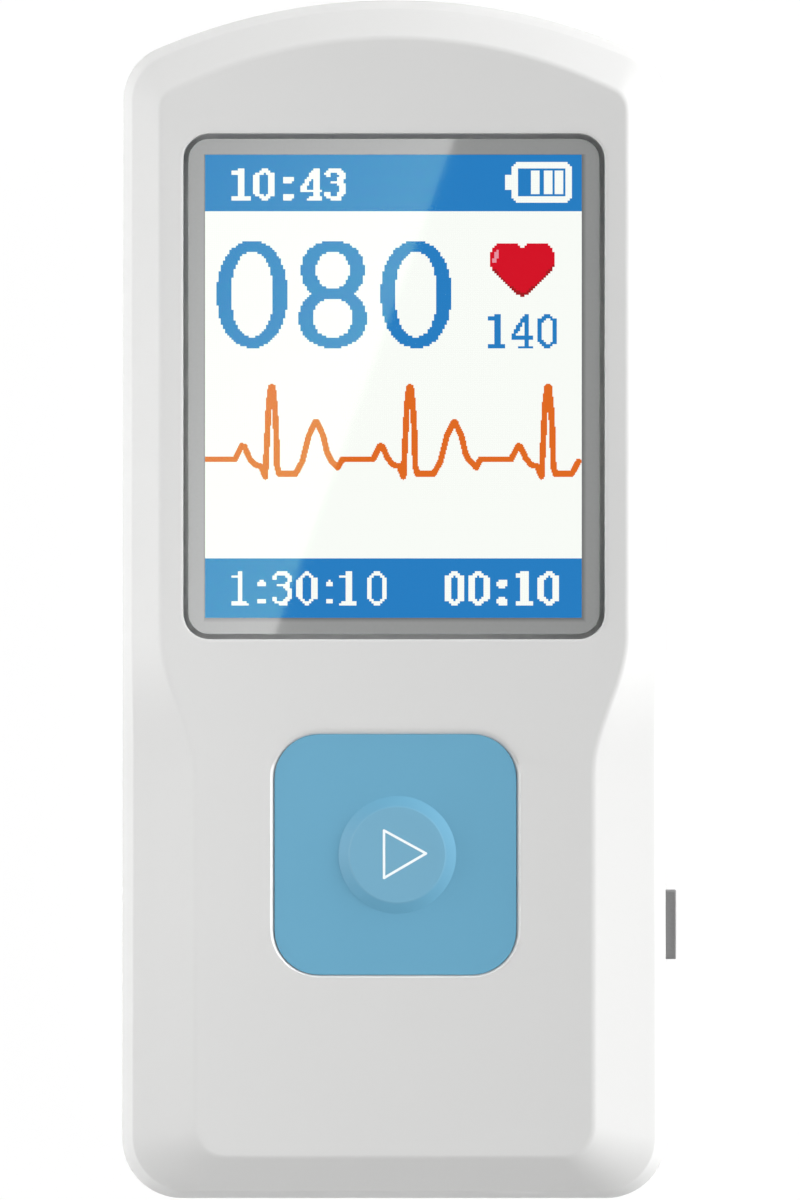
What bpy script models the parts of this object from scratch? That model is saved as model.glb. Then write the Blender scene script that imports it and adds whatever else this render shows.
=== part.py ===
"""A hand-held ECG monitor with a colour screen and one large key, as an assembly of its real pieces.

It lies on its back: +Z points out of the screen, +Y to the arched top end and +X to the user's right.
The origin is the middle of the flat back face. Lengths are in metres.

The sizes stack up from the inside. The height comes from the pieces that lie on each other behind the
window, the width from the screen and its margins, and the length from window, key and margins.
"""

import math
from typing import NamedTuple

import bmesh
import bpy

MM = 0.001

# Fits and walls that all the pieces share
FIT_GAP = 0.3 * MM
OVERRUN = 1.0 * MM
WALL = 1.8 * MM
FACE_WALL = 2.0 * MM
REAR_FLOOR = 2.2 * MM

# The screen, and what lies between it and the board
SCREEN_WIDTH = 31.4 * MM
SCREEN_LENGTH = 38.4 * MM
LENS_BORDER = 1.45 * MM
LENS_GAP = 0.4 * MM
LENS_THICKNESS = 0.8 * MM
LENS_SINK = 0.3 * MM
LENS_CORNER_RADIUS = 1.8 * MM
LENS_EASE = 0.15 * MM
TAPE_THICKNESS = 0.3 * MM
LEDGE_THICKNESS = 1.0 * MM
LEDGE_CLEARANCE = 0.45 * MM
SCREEN_OPENING_RADIUS = 0.5 * MM
LEDGE_OVERLAP = 1.1 * MM
POCKET_EASE = 0.3 * MM
GASKET_THICKNESS = 0.6 * MM
GASKET_MARGIN = 2.3 * MM
GLASS_THICKNESS = 1.3 * MM
GLASS_SIDE_BORDER = 1.8 * MM
GLASS_TOP_BORDER = 1.8 * MM
GLASS_LOWER_BORDER = 3.0 * MM
TRAY_WALL = 0.7 * MM
TRAY_FLOOR = 0.7 * MM
TRAY_RIM_DROP = 0.1 * MM
BOARD_THICKNESS = 1.0 * MM
CELL_THICKNESS = 3.6 * MM
CELL_FOAM_THICKNESS = 0.5 * MM

# Heights over the back face, from the floor of the rear cover to the front face
FOAM_BOTTOM = REAR_FLOOR + FIT_GAP
FOAM_TOP = FOAM_BOTTOM + CELL_FOAM_THICKNESS
CELL_BOTTOM = FOAM_TOP + FIT_GAP
CELL_TOP = CELL_BOTTOM + CELL_THICKNESS
BOARD_BOTTOM = CELL_TOP + FIT_GAP
BOARD_TOP = BOARD_BOTTOM + BOARD_THICKNESS
TRAY_BOTTOM = BOARD_TOP + FIT_GAP
GLASS_BOTTOM = TRAY_BOTTOM + TRAY_FLOOR + FIT_GAP
GLASS_TOP = GLASS_BOTTOM + GLASS_THICKNESS
GASKET_BOTTOM = GLASS_TOP + FIT_GAP
GASKET_TOP = GASKET_BOTTOM + GASKET_THICKNESS
LEDGE_BOTTOM = GASKET_TOP + FIT_GAP
LEDGE_TOP = LEDGE_BOTTOM + LEDGE_THICKNESS
TAPE_BOTTOM = LEDGE_TOP + FIT_GAP
TAPE_TOP = TAPE_BOTTOM + TAPE_THICKNESS
LENS_BOTTOM = TAPE_TOP + FIT_GAP
LENS_TOP = LENS_BOTTOM + LENS_THICKNESS
FACE_HEIGHT = LENS_TOP + LENS_SINK
INNER_FACE_HEIGHT = FACE_HEIGHT - FACE_WALL

# The big square key
KEY_WIDTH = 20.0 * MM
KEY_CORNER_RADIUS = 3.7 * MM
KEY_GAP = 0.2 * MM
KEY_DRAFT = 0.15 * MM
KEY_STEM = 2.0 * MM
KEY_FLANGE = 1.35 * MM
KEY_FLANGE_THICKNESS = 0.8 * MM
KEY_EASE = 0.25 * MM
KEY_RIM_EASE = 0.45 * MM
KEY_WALL = 1.4 * MM
KEY_RIB = 0.9 * MM
KEY_HOLLOW = 1.5 * MM
KEY_BOSS_RADIUS = 4.7 * MM
KEY_BOSS_TOP_RADIUS = 4.05 * MM
KEY_BOSS_HEIGHT = 0.6 * MM
KEY_POST_RADIUS = 1.5 * MM
KEY_TRAVEL = 0.4 * MM
KEY_TOP = INNER_FACE_HEIGHT - FIT_GAP + KEY_STEM

# Margins on the front face, and the bevel round it
WINDOW_SIDE_MARGIN = 1.9 * MM
WINDOW_TOP_MARGIN = 8.0 * MM
WINDOW_TO_KEY = 7.7 * MM
KEY_TO_BOTTOM = 15.0 * MM
TOP_BEVEL = 3.25 * MM
SHOULDER_BEVEL = 3.15 * MM
HIP_BEVEL = 6.1 * MM
BOTTOM_BEVEL = 3.55 * MM
HIP_FLARE = 0.1 * MM
BEVEL_DEPTH = 2.6 * MM
BEVEL_OUTER_EASE = 1.1 * MM
BEVEL_FACE_EASE = 0.45 * MM

# Radii of the two outlines of the front, and the waist of its face
TOP_RADIUS = 50.0 * MM
SHOULDER_RADIUS = 4.7 * MM
HIP_RADIUS = 5.0 * MM
FACE_TOP_RADIUS = 41.0 * MM
FACE_SHOULDER_RADIUS = 1.9 * MM
FACE_HIP_RADIUS = 2.6 * MM
WAIST_LENGTH = 11.6 * MM
WAIST_BELOW_WINDOW = 0.4 * MM

# The back of the housing
PARTING_DROP = 1.0 * MM
PARTING_GAP = 0.3 * MM
TONGUE_HEIGHT = 1.0 * MM
TONGUE_THICKNESS = 0.6 * MM
BACK_BEVEL = 2.2 * MM
BACK_BEVEL_DEPTH = 2.4 * MM
BACK_OUTER_EASE = 0.9 * MM
BACK_FACE_EASE = 0.6 * MM
INNER_EDGE_DROP = 1.4 * MM
INNER_FACE_INSET = 0.6 * MM
FLOOR_EDGE_RISE = 1.6 * MM
FLOOR_INSET = 1.0 * MM
PEN_RIB = 0.8 * MM
PEN_RIB_HEIGHT = 1.8 * MM
PEN_GAP = 0.5 * MM
PEN_RIB_LENGTH = 14.0 * MM

# Screws and their bosses
SCREW_RADIUS = 0.85 * MM
SCREW_HEAD_RADIUS = 1.8 * MM
SCREW_HEAD_HEIGHT = 1.2 * MM
SCREW_HEAD_SINK = 0.9 * MM
SCREW_LENGTH = 9.0 * MM
SCREW_TIP = 0.5 * MM
SCREW_SOCKET_RADIUS = 0.9 * MM
SCREW_SOCKET_DEPTH = 0.7 * MM
SCREW_SOCKET_SIDES = 6
FRONT_BOSS_RADIUS = 2.2 * MM
FRONT_BOSS_ROOT = 0.9 * MM
REAR_BOSS_WALL = 0.8 * MM
UPPER_SCREW_INSET = 8.7 * MM
UPPER_SCREW_RISE = 0.4 * MM
LOWER_SCREW_INSET = 6.0 * MM
LOWER_SCREW_RISE = 5.5 * MM

# The board and what stands on it
BOARD_CLEARANCE = 0.5 * MM
BOARD_HOLE_RADIUS = 1.3 * MM
SWITCH_WIDTH = 6.0 * MM
SWITCH_HEIGHT = 2.2 * MM
SWITCH_LID = 0.5 * MM
SWITCH_CORNER_RADIUS = 0.5 * MM
PLUNGER_RADIUS = 1.4 * MM
PLUNGER_COLLAR_RADIUS = 2.0 * MM
PLUNGER_COLLAR = 0.5 * MM
PLUNGER_REST = 0.2 * MM
DOME_RADIUS = 2.1 * MM
DOME_RISE = 0.3 * MM
DOME_THICKNESS = 0.12 * MM
FLEX_WIDTH = 12.0 * MM
FLEX_THICKNESS = 0.25 * MM
FLEX_REACH = 4.6 * MM
FLEX_DROP = 1.0 * MM
FLEX_BEND = 0.5 * MM
FLEX_NOTCH = 0.6 * MM
CONNECTOR_WIDTH = 14.0 * MM
CONNECTOR_DEPTH = 3.0 * MM
CONNECTOR_HEIGHT = 1.2 * MM
BUZZER_RADIUS = 4.5 * MM
BUZZER_HEIGHT = 3.0 * MM
BUZZER_PORT_RADIUS = 0.9 * MM
BUZZER_PORT_DEPTH = 0.8 * MM
BUZZER_X = -4.0 * MM
BUZZER_TO_KEY = 1.5 * MM
CHIP_HEIGHT = 0.9 * MM
CHIP_EASE = 0.15 * MM
PROCESSOR_WIDTH = 7.0 * MM
PROCESSOR_X = 6.5 * MM
AMPLIFIER_WIDTH = 5.0 * MM

# The cell and its leads
CELL_WIDTH = 30.0 * MM
CELL_LENGTH = 40.0 * MM
CELL_CORNER_RADIUS = 2.0 * MM
CELL_EASE = 0.6 * MM
CELL_FOAM_MARGIN = 2.0 * MM
CELL_Y = 1.0 * MM
LEAD_RADIUS = 0.45 * MM
LEAD_PITCH = 2.0 * MM
LEAD_LENGTH = 4.6 * MM
LEAD_BOW = 0.5 * MM
CELL_SOCKET_WIDTH = 5.0 * MM
CELL_SOCKET_DEPTH = 4.0 * MM
CELL_SOCKET_HEIGHT = 2.6 * MM
CELL_SOCKET_X = -9.0 * MM

# The side port: socket, rubber cover and its tether
PORT_ABOVE_BOTTOM = 22.8 * MM
SOCKET_WIDTH = 7.6 * MM
SOCKET_HEIGHT = 2.4 * MM
SOCKET_DEPTH = 5.6 * MM
SOCKET_WALL = 0.35 * MM
SOCKET_CORNER_RADIUS = 0.5 * MM
SOCKET_TONGUE_WIDTH = 4.6 * MM
SOCKET_TONGUE_THICKNESS = 0.5 * MM
SOCKET_TONGUE_LENGTH = 3.2 * MM
SOCKET_TONGUE_ROOT = 0.9 * MM
SOCKET_SETBACK = 0.2 * MM
COVER_MARGIN = 0.3 * MM
COVER_RECESS_DEPTH = 1.0 * MM
COVER_CORNER_RADIUS = 0.9 * MM
COVER_EASE = 0.15 * MM
TAB_WIDTH = 5.8 * MM
TAB_THICKNESS = 1.5 * MM
TAB_REACH = 0.9 * MM
TAB_EASE = 0.12 * MM
NOSE_WIDTH = 5.8 * MM
NOSE_THICKNESS = 0.9 * MM
NOSE_REACH = 1.6 * MM
TETHER_WIDTH = 1.0 * MM
TETHER_THICKNESS = 0.8 * MM
TETHER_WEB = 0.7 * MM
TETHER_HEAD_WIDTH = 2.8 * MM
TETHER_HEAD_HEIGHT = 2.2 * MM
TETHER_HEAD_THICKNESS = 0.7 * MM
COVER_TRAVEL = 7.0 * MM
TETHER_SLACK = 0.3 * MM

# Electrodes on the back, and their springs
ELECTRODE_THICKNESS = 0.8 * MM
ELECTRODE_CORNER_RADIUS = 3.0 * MM
ELECTRODE_EASE = 0.2 * MM
ELECTRODE_STUD_RADIUS = 1.5 * MM
ELECTRODE_STUD_STAND = 0.7 * MM
FINGER_WIDTH = 15.0 * MM
FINGER_LENGTH = 15.0 * MM
FINGER_X = 9.8 * MM
FINGER_BELOW_TOP = 20.0 * MM
PALM_WIDTH = 30.0 * MM
PALM_LENGTH = 11.0 * MM
PALM_ABOVE_BOTTOM = 16.5 * MM
SPRING_WIDTH = 2.4 * MM
SPRING_THICKNESS = 0.25 * MM
SPRING_REACH = 3.2 * MM
SPRING_SHAPE_SHARES = (
    (-0.85, 1.0),
    (0.45, 1.0),
    (0.62, 0.9),
    (0.62, 0.78),
    (-0.28, 0.12),
    (-0.12, 0.0),
    (0.12, 0.0),
    (0.45, 0.14),
)

# How many straight steps stand for each round stretch
CORNER_STEPS = 6
HIP_STEPS = 8
WAIST_STEPS = 10
TOP_ARC_STEPS = 9
EASE_STEPS = 3
ROUND_STEPS = 24
BIG_ROUND_STEPS = 40
TUBE_SIDES_RESOLUTION = 2
LEAD_STEPS = 8
SMOOTH_BELOW = math.radians(30)

# Places that follow from the sizes above
WINDOW_WIDTH = SCREEN_WIDTH + 2 * (LENS_BORDER + LENS_GAP)
WINDOW_LENGTH = SCREEN_LENGTH + 2 * (LENS_BORDER + LENS_GAP)
KEY_OPENING = KEY_WIDTH + 2 * KEY_GAP
FACE_LENGTH = WINDOW_TOP_MARGIN + WINDOW_LENGTH + WINDOW_TO_KEY + KEY_OPENING + KEY_TO_BOTTOM
BODY_LENGTH = BOTTOM_BEVEL + FACE_LENGTH + TOP_BEVEL
BODY_BOTTOM = -BODY_LENGTH / 2
FACE_BOTTOM = BODY_BOTTOM + BOTTOM_BEVEL
KEY_Y = FACE_BOTTOM + KEY_TO_BOTTOM + KEY_OPENING / 2
WINDOW_BOTTOM = KEY_Y + KEY_OPENING / 2 + WINDOW_TO_KEY
WINDOW_Y = WINDOW_BOTTOM + WINDOW_LENGTH / 2
BODY_TOP = BODY_BOTTOM + BODY_LENGTH
FACE_SHOULDER_HALF = WINDOW_WIDTH / 2 + WINDOW_SIDE_MARGIN
SHOULDER_HALF = FACE_SHOULDER_HALF + SHOULDER_BEVEL
HIP_HALF = SHOULDER_HALF + HIP_FLARE
EDGE_HEIGHT = FACE_HEIGHT - BEVEL_DEPTH
PARTING_HEIGHT = BOARD_BOTTOM - PARTING_DROP
WAIST_TOP = WINDOW_BOTTOM + WAIST_BELOW_WINDOW
GLASS_LENGTH = SCREEN_LENGTH + GLASS_TOP_BORDER + GLASS_LOWER_BORDER
GLASS_Y = WINDOW_Y + (GLASS_TOP_BORDER - GLASS_LOWER_BORDER) / 2
GLASS_WIDTH = SCREEN_WIDTH + 2 * GLASS_SIDE_BORDER
TRAY_WIDTH = GLASS_WIDTH + 2 * (FIT_GAP + TRAY_WALL)
TRAY_LENGTH = GLASS_LENGTH + 2 * (FIT_GAP + TRAY_WALL)
TRAY_TOP = GLASS_TOP - TRAY_RIM_DROP
PORT_Y = BODY_BOTTOM + PORT_ABOVE_BOTTOM
SOCKET_HEIGHT_MIDDLE = BOARD_TOP + FIT_GAP + SOCKET_HEIGHT / 2
FINGER_Y = BODY_TOP - FINGER_BELOW_TOP
PALM_Y = BODY_BOTTOM + PALM_ABOVE_BOTTOM
STUD_TOP = REAR_FLOOR + ELECTRODE_STUD_STAND
SCREW_PLACES = {
    "upper_left": (-(SHOULDER_HALF - UPPER_SCREW_INSET), "upper"),
    "upper_right": (SHOULDER_HALF - UPPER_SCREW_INSET, "upper"),
    "lower_left": (-(HIP_HALF - LOWER_SCREW_INSET), "lower"),
    "lower_right": (HIP_HALF - LOWER_SCREW_INSET, "lower"),
}
SCREW_Y = {
    "upper": GLASS_Y + TRAY_LENGTH / 2 + FRONT_BOSS_RADIUS + UPPER_SCREW_RISE,
    "lower": BODY_BOTTOM + LOWER_SCREW_RISE,
}


class Outline(NamedTuple):
    """One closed outline of the housing seen from the front, mirrored about X = 0."""

    bottom: float
    top: float
    hip_half: float
    shoulder_half: float
    hip_radius: float
    shoulder_radius: float
    top_radius: float
    waisted: bool

    def inset(self, distance):
        """The same outline, drawn this far further in."""
        return Outline(
            self.bottom + distance,
            self.top - distance,
            self.hip_half - distance,
            self.shoulder_half - distance,
            max(self.hip_radius - distance, FIT_GAP),
            max(self.shoulder_radius - distance, FIT_GAP),
            self.top_radius - distance,
            self.waisted,
        )

    def shoulder_centre(self):
        """Centre of the arc that joins the side to the arched end."""
        x = self.shoulder_half - self.shoulder_radius
        reach = self.top_radius - self.shoulder_radius
        arch_centre = self.top - self.top_radius
        return x, arch_centre + math.sqrt(reach**2 - x**2)

    def half_at(self, y):
        """Half of the width at this Y: a smooth waist on the face, a slight taper on the outside."""
        low, high = self.bottom + self.hip_radius, self.shoulder_centre()[1]
        if self.waisted:
            low, high = WAIST_TOP - WAIST_LENGTH, WAIST_TOP
        share = min(max((y - low) / (high - low), 0), 1)
        if self.waisted:
            share = share * share * (3 - 2 * share)
        return self.hip_half + (self.shoulder_half - self.hip_half) * share

    def points(self, height):
        """The outline as points at one height. Every outline has as many, feature by feature."""
        centre = (self.hip_half - self.hip_radius, self.bottom + self.hip_radius)
        right = arc(centre, self.hip_radius, -math.pi / 2, 0, HIP_STEPS)
        for step in range(WAIST_STEPS + 1):
            y = WAIST_TOP - WAIST_LENGTH * (1 - step / WAIST_STEPS)
            right.append((self.half_at(y), y))
        centre = self.shoulder_centre()
        arch_centre = self.top - self.top_radius
        turn = math.atan2(centre[1] - arch_centre, centre[0])
        right += arc(centre, self.shoulder_radius, 0, turn, CORNER_STEPS)
        right += arc((0, arch_centre), self.top_radius, turn, math.pi / 2, TOP_ARC_STEPS)[1:]
        left = [(-x, y) for x, y in reversed(right[:-1])]
        return [(x, y, height) for x, y in right + left]


BODY_OUTLINE = Outline(
    BODY_BOTTOM, BODY_TOP, HIP_HALF, SHOULDER_HALF, HIP_RADIUS, SHOULDER_RADIUS, TOP_RADIUS, False
)
FACE_OUTLINE = Outline(
    FACE_BOTTOM,
    FACE_BOTTOM + FACE_LENGTH,
    HIP_HALF - HIP_BEVEL,
    FACE_SHOULDER_HALF,
    FACE_HIP_RADIUS,
    FACE_SHOULDER_RADIUS,
    FACE_TOP_RADIUS,
    True,
)


def arc(centre, radius, start, end, steps):
    """Points along an arc, both ends included."""
    turns = [start + (end - start) * step / steps for step in range(steps + 1)]
    return [
        (centre[0] + radius * math.cos(turn), centre[1] + radius * math.sin(turn))
        for turn in turns
    ]


def rounded_rectangle(width, length, radius, height):
    """A rectangle with round corners about the Z axis, as points at one height."""
    x, y = width / 2 - radius, length / 2 - radius
    quarter = math.pi / 2
    points = []
    for turn, centre in enumerate(((x, -y), (x, y), (-x, y), (-x, -y))):
        points += arc(centre, radius, (turn - 1) * quarter, turn * quarter, CORNER_STEPS)
    return [(x, y, height) for x, y in points]


def circle(radius, height, steps=ROUND_STEPS):
    """A circle about the Z axis, as points at one height."""
    points = arc((0, 0), radius, 0, 2 * math.pi, steps)[:-1]
    return [(x, y, height) for x, y in points]


def toward(start, end, distance):
    """The point this far from start on the way to end."""
    share = distance / math.dist(start, end)
    return tuple(a + (b - a) * share for a, b in zip(start, end))


def eased(before, corner, after, reach):
    """A curve that starts this far before the corner and ends this far after it."""
    first, last = toward(corner, before, reach), toward(corner, after, reach)
    curve = []
    for step in range(EASE_STEPS + 1):
        t = step / EASE_STEPS
        weights = ((1 - t) ** 2, 2 * t * (1 - t), t**2)
        curve.append(
            tuple(
                sum(weight * point[axis] for weight, point in zip(weights, (first, corner, last)))
                for axis in range(3)
            )
        )
    return curve


def bevelled_skin(foot, edge, face, outer_ease, face_ease):
    """Loops up a wall from foot to edge, over the bevel to face and a little way onto the face."""
    sections = []
    for low, corner, rim in zip(foot, edge, face):
        flat = (rim[0] - corner[0], rim[1] - corner[1], 0)
        onward = tuple(a + b for a, b in zip(rim, flat))
        section = [low]
        section += eased(low, corner, rim, outer_ease)
        section += eased(corner, rim, onward, face_ease)
        sections.append(section)
    return [list(loop) for loop in zip(*sections)]


FINISHES = {}


def finish(name, colour, roughness, metallic=0.0):
    """A plain finish, made once and shared by the pieces of that material."""
    if name not in FINISHES:
        made = bpy.data.materials.new(name)
        made.use_nodes = True
        shader = made.node_tree.nodes["Principled BSDF"]
        shader.inputs["Base Color"].default_value = (*colour, 1)
        shader.inputs["Roughness"].default_value = roughness
        shader.inputs["Metallic"].default_value = metallic
        FINISHES[name] = made
    return FINISHES[name]


def housing_plastic():
    return finish("housing_plastic", (0.66, 0.66, 0.65), 0.42)


def key_plastic():
    return finish("key_plastic", (0.15, 0.38, 0.57), 0.4)


def clear_acrylic():
    return finish("clear_acrylic", (0.9, 0.93, 0.94), 0.05)


def screen_glass():
    return finish("screen_glass", (0.75, 0.78, 0.8), 0.1)


def grey_rubber():
    return finish("grey_rubber", (0.2, 0.2, 0.2), 0.75)


def grey_foam():
    return finish("grey_foam", (0.36, 0.37, 0.37), 0.9)


def board_green():
    return finish("board_green", (0.02, 0.16, 0.07), 0.5)


def black_plastic():
    return finish("black_plastic", (0.02, 0.02, 0.022), 0.55)


def white_plastic():
    return finish("white_plastic", (0.8, 0.8, 0.78), 0.5)


def steel():
    return finish("steel", (0.6, 0.6, 0.6), 0.3, 1.0)


def gold_plate():
    return finish("gold_plate", (0.8, 0.58, 0.25), 0.3, 1.0)


def foil():
    return finish("foil", (0.55, 0.56, 0.58), 0.4, 1.0)


def amber_film():
    return finish("amber_film", (0.42, 0.16, 0.03), 0.4)


def red_sleeve():
    return finish("red_sleeve", (0.5, 0.02, 0.02), 0.5)


ASSEMBLY = "ecg_monitor_frame"


def start_scene():
    """Clears the scene and adds the empty that every piece hangs from."""
    for item in list(bpy.data.objects):
        bpy.data.objects.remove(item)
    frame = bpy.data.objects.new(ASSEMBLY, None)
    bpy.context.collection.objects.link(frame)


def add(name, data, material, place):
    """A new piece with its origin at this place."""
    piece = bpy.data.objects.new(name, data)
    piece.location = place
    piece.parent = bpy.data.objects[ASSEMBLY]
    if material:
        data.materials.append(material)
    bpy.context.collection.objects.link(piece)
    return piece


def lofted(name, loops, material=None, place=(0, 0, 0)):
    """A closed skin over matching loops of points, which run anticlockwise from the first upwards."""
    shape = bmesh.new()
    rings = [[shape.verts.new(point) for point in loop] for loop in loops]
    for lower, upper in zip(rings, rings[1:]):
        for first in range(len(lower)):
            second = (first + 1) % len(lower)
            shape.faces.new((lower[first], lower[second], upper[second], upper[first]))
    shape.faces.new(reversed(rings[0]))
    shape.faces.new(rings[-1])
    mesh = bpy.data.meshes.new(name)
    shape.to_mesh(mesh)
    shape.free()
    mesh.shade_smooth()
    mesh.set_sharp_from_angle(angle=SMOOTH_BELOW)
    return add(name, mesh, material, place)


def plate(name, width, length, radius, bottom, top, material=None, place=(0, 0, 0), ease=0):
    """A flat plate with round corners and, if asked, an eased upper edge."""
    loops = [rounded_rectangle(width, length, radius, bottom)]
    if ease:
        loops.append(rounded_rectangle(width, length, radius, top - ease))
        inner_radius = max(radius - ease, ease)
        loops.append(rounded_rectangle(width - 2 * ease, length - 2 * ease, inner_radius, top))
    else:
        loops.append(rounded_rectangle(width, length, radius, top))
    return lofted(name, loops, material, place)


def turned(name, profile, material=None, place=(0, 0, 0), steps=ROUND_STEPS):
    """A piece turned about its Z axis from a profile of radii and heights, bottom to top."""
    return lofted(name, [circle(radius, height, steps) for radius, height in profile], material, place)


def strip(name, path, width, thickness, material, place):
    """A bent strip: a path of Y and Z points with a thickness, run across X by its width."""
    sides = ([], [])
    for index, point in enumerate(path):
        before = path[max(index - 1, 0)]
        after = path[min(index + 1, len(path) - 1)]
        legs = [
            math.atan2(b[1] - a[1], b[0] - a[0])
            for a, b in ((before, point), (point, after))
            if a != b
        ]
        lean = (legs[0] + legs[-1]) / 2
        stretch = thickness / 2 / math.cos((legs[-1] - legs[0]) / 2)
        for side, sign in zip(sides, (1, -1)):
            y = point[0] - sign * stretch * math.sin(lean)
            z = point[1] + sign * stretch * math.cos(lean)
            side.append((y, z))
    section = sides[1] + sides[0][::-1]
    loops = [[(x, y, z) for y, z in section] for x in (-width / 2, width / 2)]
    return lofted(name, loops, material, place)


def carve(piece, cutter, operation="DIFFERENCE"):
    """Cuts the cutter out of the piece, or with UNION joins it on, as a modifier that stays live."""
    modifier = piece.modifiers.new(cutter.name, "BOOLEAN")
    modifier.operation = operation
    modifier.object = cutter
    cutter.hide_render = True
    cutter.display_type = "WIRE"


def lay_on_side(piece):
    """Turns a piece made about +Z so that it points along +X, with its own X along Y and Y along Z."""
    piece.rotation_euler = (math.pi / 2, 0, math.pi / 2)


def housing_half(name, foot_height, edge_height, face_height, face, outer_ease, face_ease):
    """The outside of one half of the housing, solid."""
    foot = BODY_OUTLINE.points(foot_height)
    edge = BODY_OUTLINE.points(edge_height)
    loops = bevelled_skin(foot, edge, face.points(face_height), outer_ease, face_ease)
    if face_height < foot_height:
        loops.reverse()
    return lofted(name, loops, housing_plastic())


def front_cover():
    """The front half: a waisted loft, hollowed, with its window, key and port cut and its bosses."""
    cover = housing_half(
        "front_cover",
        PARTING_HEIGHT + PARTING_GAP / 2,
        EDGE_HEIGHT,
        FACE_HEIGHT,
        FACE_OUTLINE,
        BEVEL_OUTER_EASE,
        BEVEL_FACE_EASE,
    )
    groove = BODY_OUTLINE.inset(WALL - TONGUE_THICKNESS - FIT_GAP)
    inner = BODY_OUTLINE.inset(WALL)
    groove_top = PARTING_HEIGHT + TONGUE_HEIGHT + FIT_GAP
    hollow = lofted(
        "front_hollow",
        [
            groove.points(PARTING_HEIGHT - OVERRUN),
            groove.points(groove_top),
            inner.points(groove_top),
            inner.points(EDGE_HEIGHT - INNER_EDGE_DROP),
            FACE_OUTLINE.inset(INNER_FACE_INSET).points(INNER_FACE_HEIGHT),
        ],
    )
    carve(cover, hollow)
    add_window(cover)
    add_front_bosses(cover)
    cut_key_opening(cover)
    cut_side_port(cover)


def add_window(cover):
    """A ledge round the window, the pocket that the clear window sits in, and the opening."""
    middle = (0, WINDOW_Y, 0)
    ledge_width = WINDOW_WIDTH + 2 * LEDGE_OVERLAP
    ledge_length = WINDOW_LENGTH + 2 * LEDGE_OVERLAP
    ledge = plate(
        "window_ledge",
        ledge_width,
        ledge_length,
        LENS_CORNER_RADIUS,
        LEDGE_BOTTOM,
        INNER_FACE_HEIGHT + FACE_WALL / 2,
        place=middle,
    )
    carve(cover, ledge, "UNION")
    pocket_radius = LENS_CORNER_RADIUS + LENS_GAP
    wide = WINDOW_WIDTH + 2 * POCKET_EASE
    long = WINDOW_LENGTH + 2 * POCKET_EASE
    wide_radius = pocket_radius + POCKET_EASE
    pocket = lofted(
        "window_pocket",
        [
            rounded_rectangle(WINDOW_WIDTH, WINDOW_LENGTH, pocket_radius, LEDGE_TOP),
            rounded_rectangle(WINDOW_WIDTH, WINDOW_LENGTH, pocket_radius, FACE_HEIGHT - POCKET_EASE),
            rounded_rectangle(wide, long, wide_radius, FACE_HEIGHT),
            rounded_rectangle(wide, long, wide_radius, FACE_HEIGHT + OVERRUN),
        ],
        place=middle,
    )
    carve(cover, pocket)
    carve(cover, screen_opening("window_opening", LEDGE_BOTTOM, LEDGE_TOP))


def screw_places():
    """Name, X and Y of each of the four screws."""
    for name, (x, end) in SCREW_PLACES.items():
        yield name, x, SCREW_Y[end]


def add_front_bosses(cover):
    """A boss for each screw, from the inside of the face to just over the board, with a blind hole."""
    boss_bottom = BOARD_TOP + FIT_GAP
    hole_radius = SCREW_RADIUS + FIT_GAP
    hole_top = SCREW_HEAD_SINK + SCREW_LENGTH + SCREW_HEAD_HEIGHT + FIT_GAP
    for name, x, y in screw_places():
        profile = [
            (FRONT_BOSS_RADIUS, boss_bottom),
            (FRONT_BOSS_RADIUS, INNER_FACE_HEIGHT - FRONT_BOSS_ROOT / 3),
            (FRONT_BOSS_RADIUS - FRONT_BOSS_ROOT, INNER_FACE_HEIGHT + FRONT_BOSS_ROOT / 2),
        ]
        boss = turned("boss_" + name, profile, place=(x, y, 0))
        carve(cover, boss, "UNION")
        hole = turned(
            "boss_hole_" + name,
            [(hole_radius, boss_bottom - OVERRUN), (hole_radius, hole_top)],
            place=(x, y, 0),
        )
        carve(cover, hole)


def cut_key_opening(cover):
    """The square opening of the key, with an eased rim."""
    radius = KEY_CORNER_RADIUS + KEY_GAP
    wide = KEY_OPENING + 2 * KEY_RIM_EASE
    wide_radius = radius + KEY_RIM_EASE
    opening = lofted(
        "key_opening",
        [
            rounded_rectangle(KEY_OPENING, KEY_OPENING, radius, INNER_FACE_HEIGHT - OVERRUN),
            rounded_rectangle(KEY_OPENING, KEY_OPENING, radius, FACE_HEIGHT - KEY_RIM_EASE),
            rounded_rectangle(wide, wide, wide_radius, FACE_HEIGHT),
            rounded_rectangle(wide, wide, wide_radius, FACE_HEIGHT + OVERRUN),
        ],
        place=(0, KEY_Y, 0),
    )
    carve(cover, opening)


def port_face():
    """X of the outside of the right-hand wall at the port."""
    return BODY_OUTLINE.half_at(PORT_Y)


def port_opening_width():
    return SOCKET_WIDTH + 2 * FIT_GAP


def tether_offset():
    """How far the tether lies below the middle of the port."""
    return port_opening_width() / 2 + TETHER_WEB + FIT_GAP + TETHER_WIDTH / 2


def cover_length():
    """Length of the rubber cover: it spans the socket, and the tether on both sides alike."""
    return 2 * (tether_offset() + TETHER_WIDTH / 2 + FIT_GAP + COVER_MARGIN)


def cover_height():
    return SOCKET_HEIGHT + 2 * (FIT_GAP + COVER_MARGIN)


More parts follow.
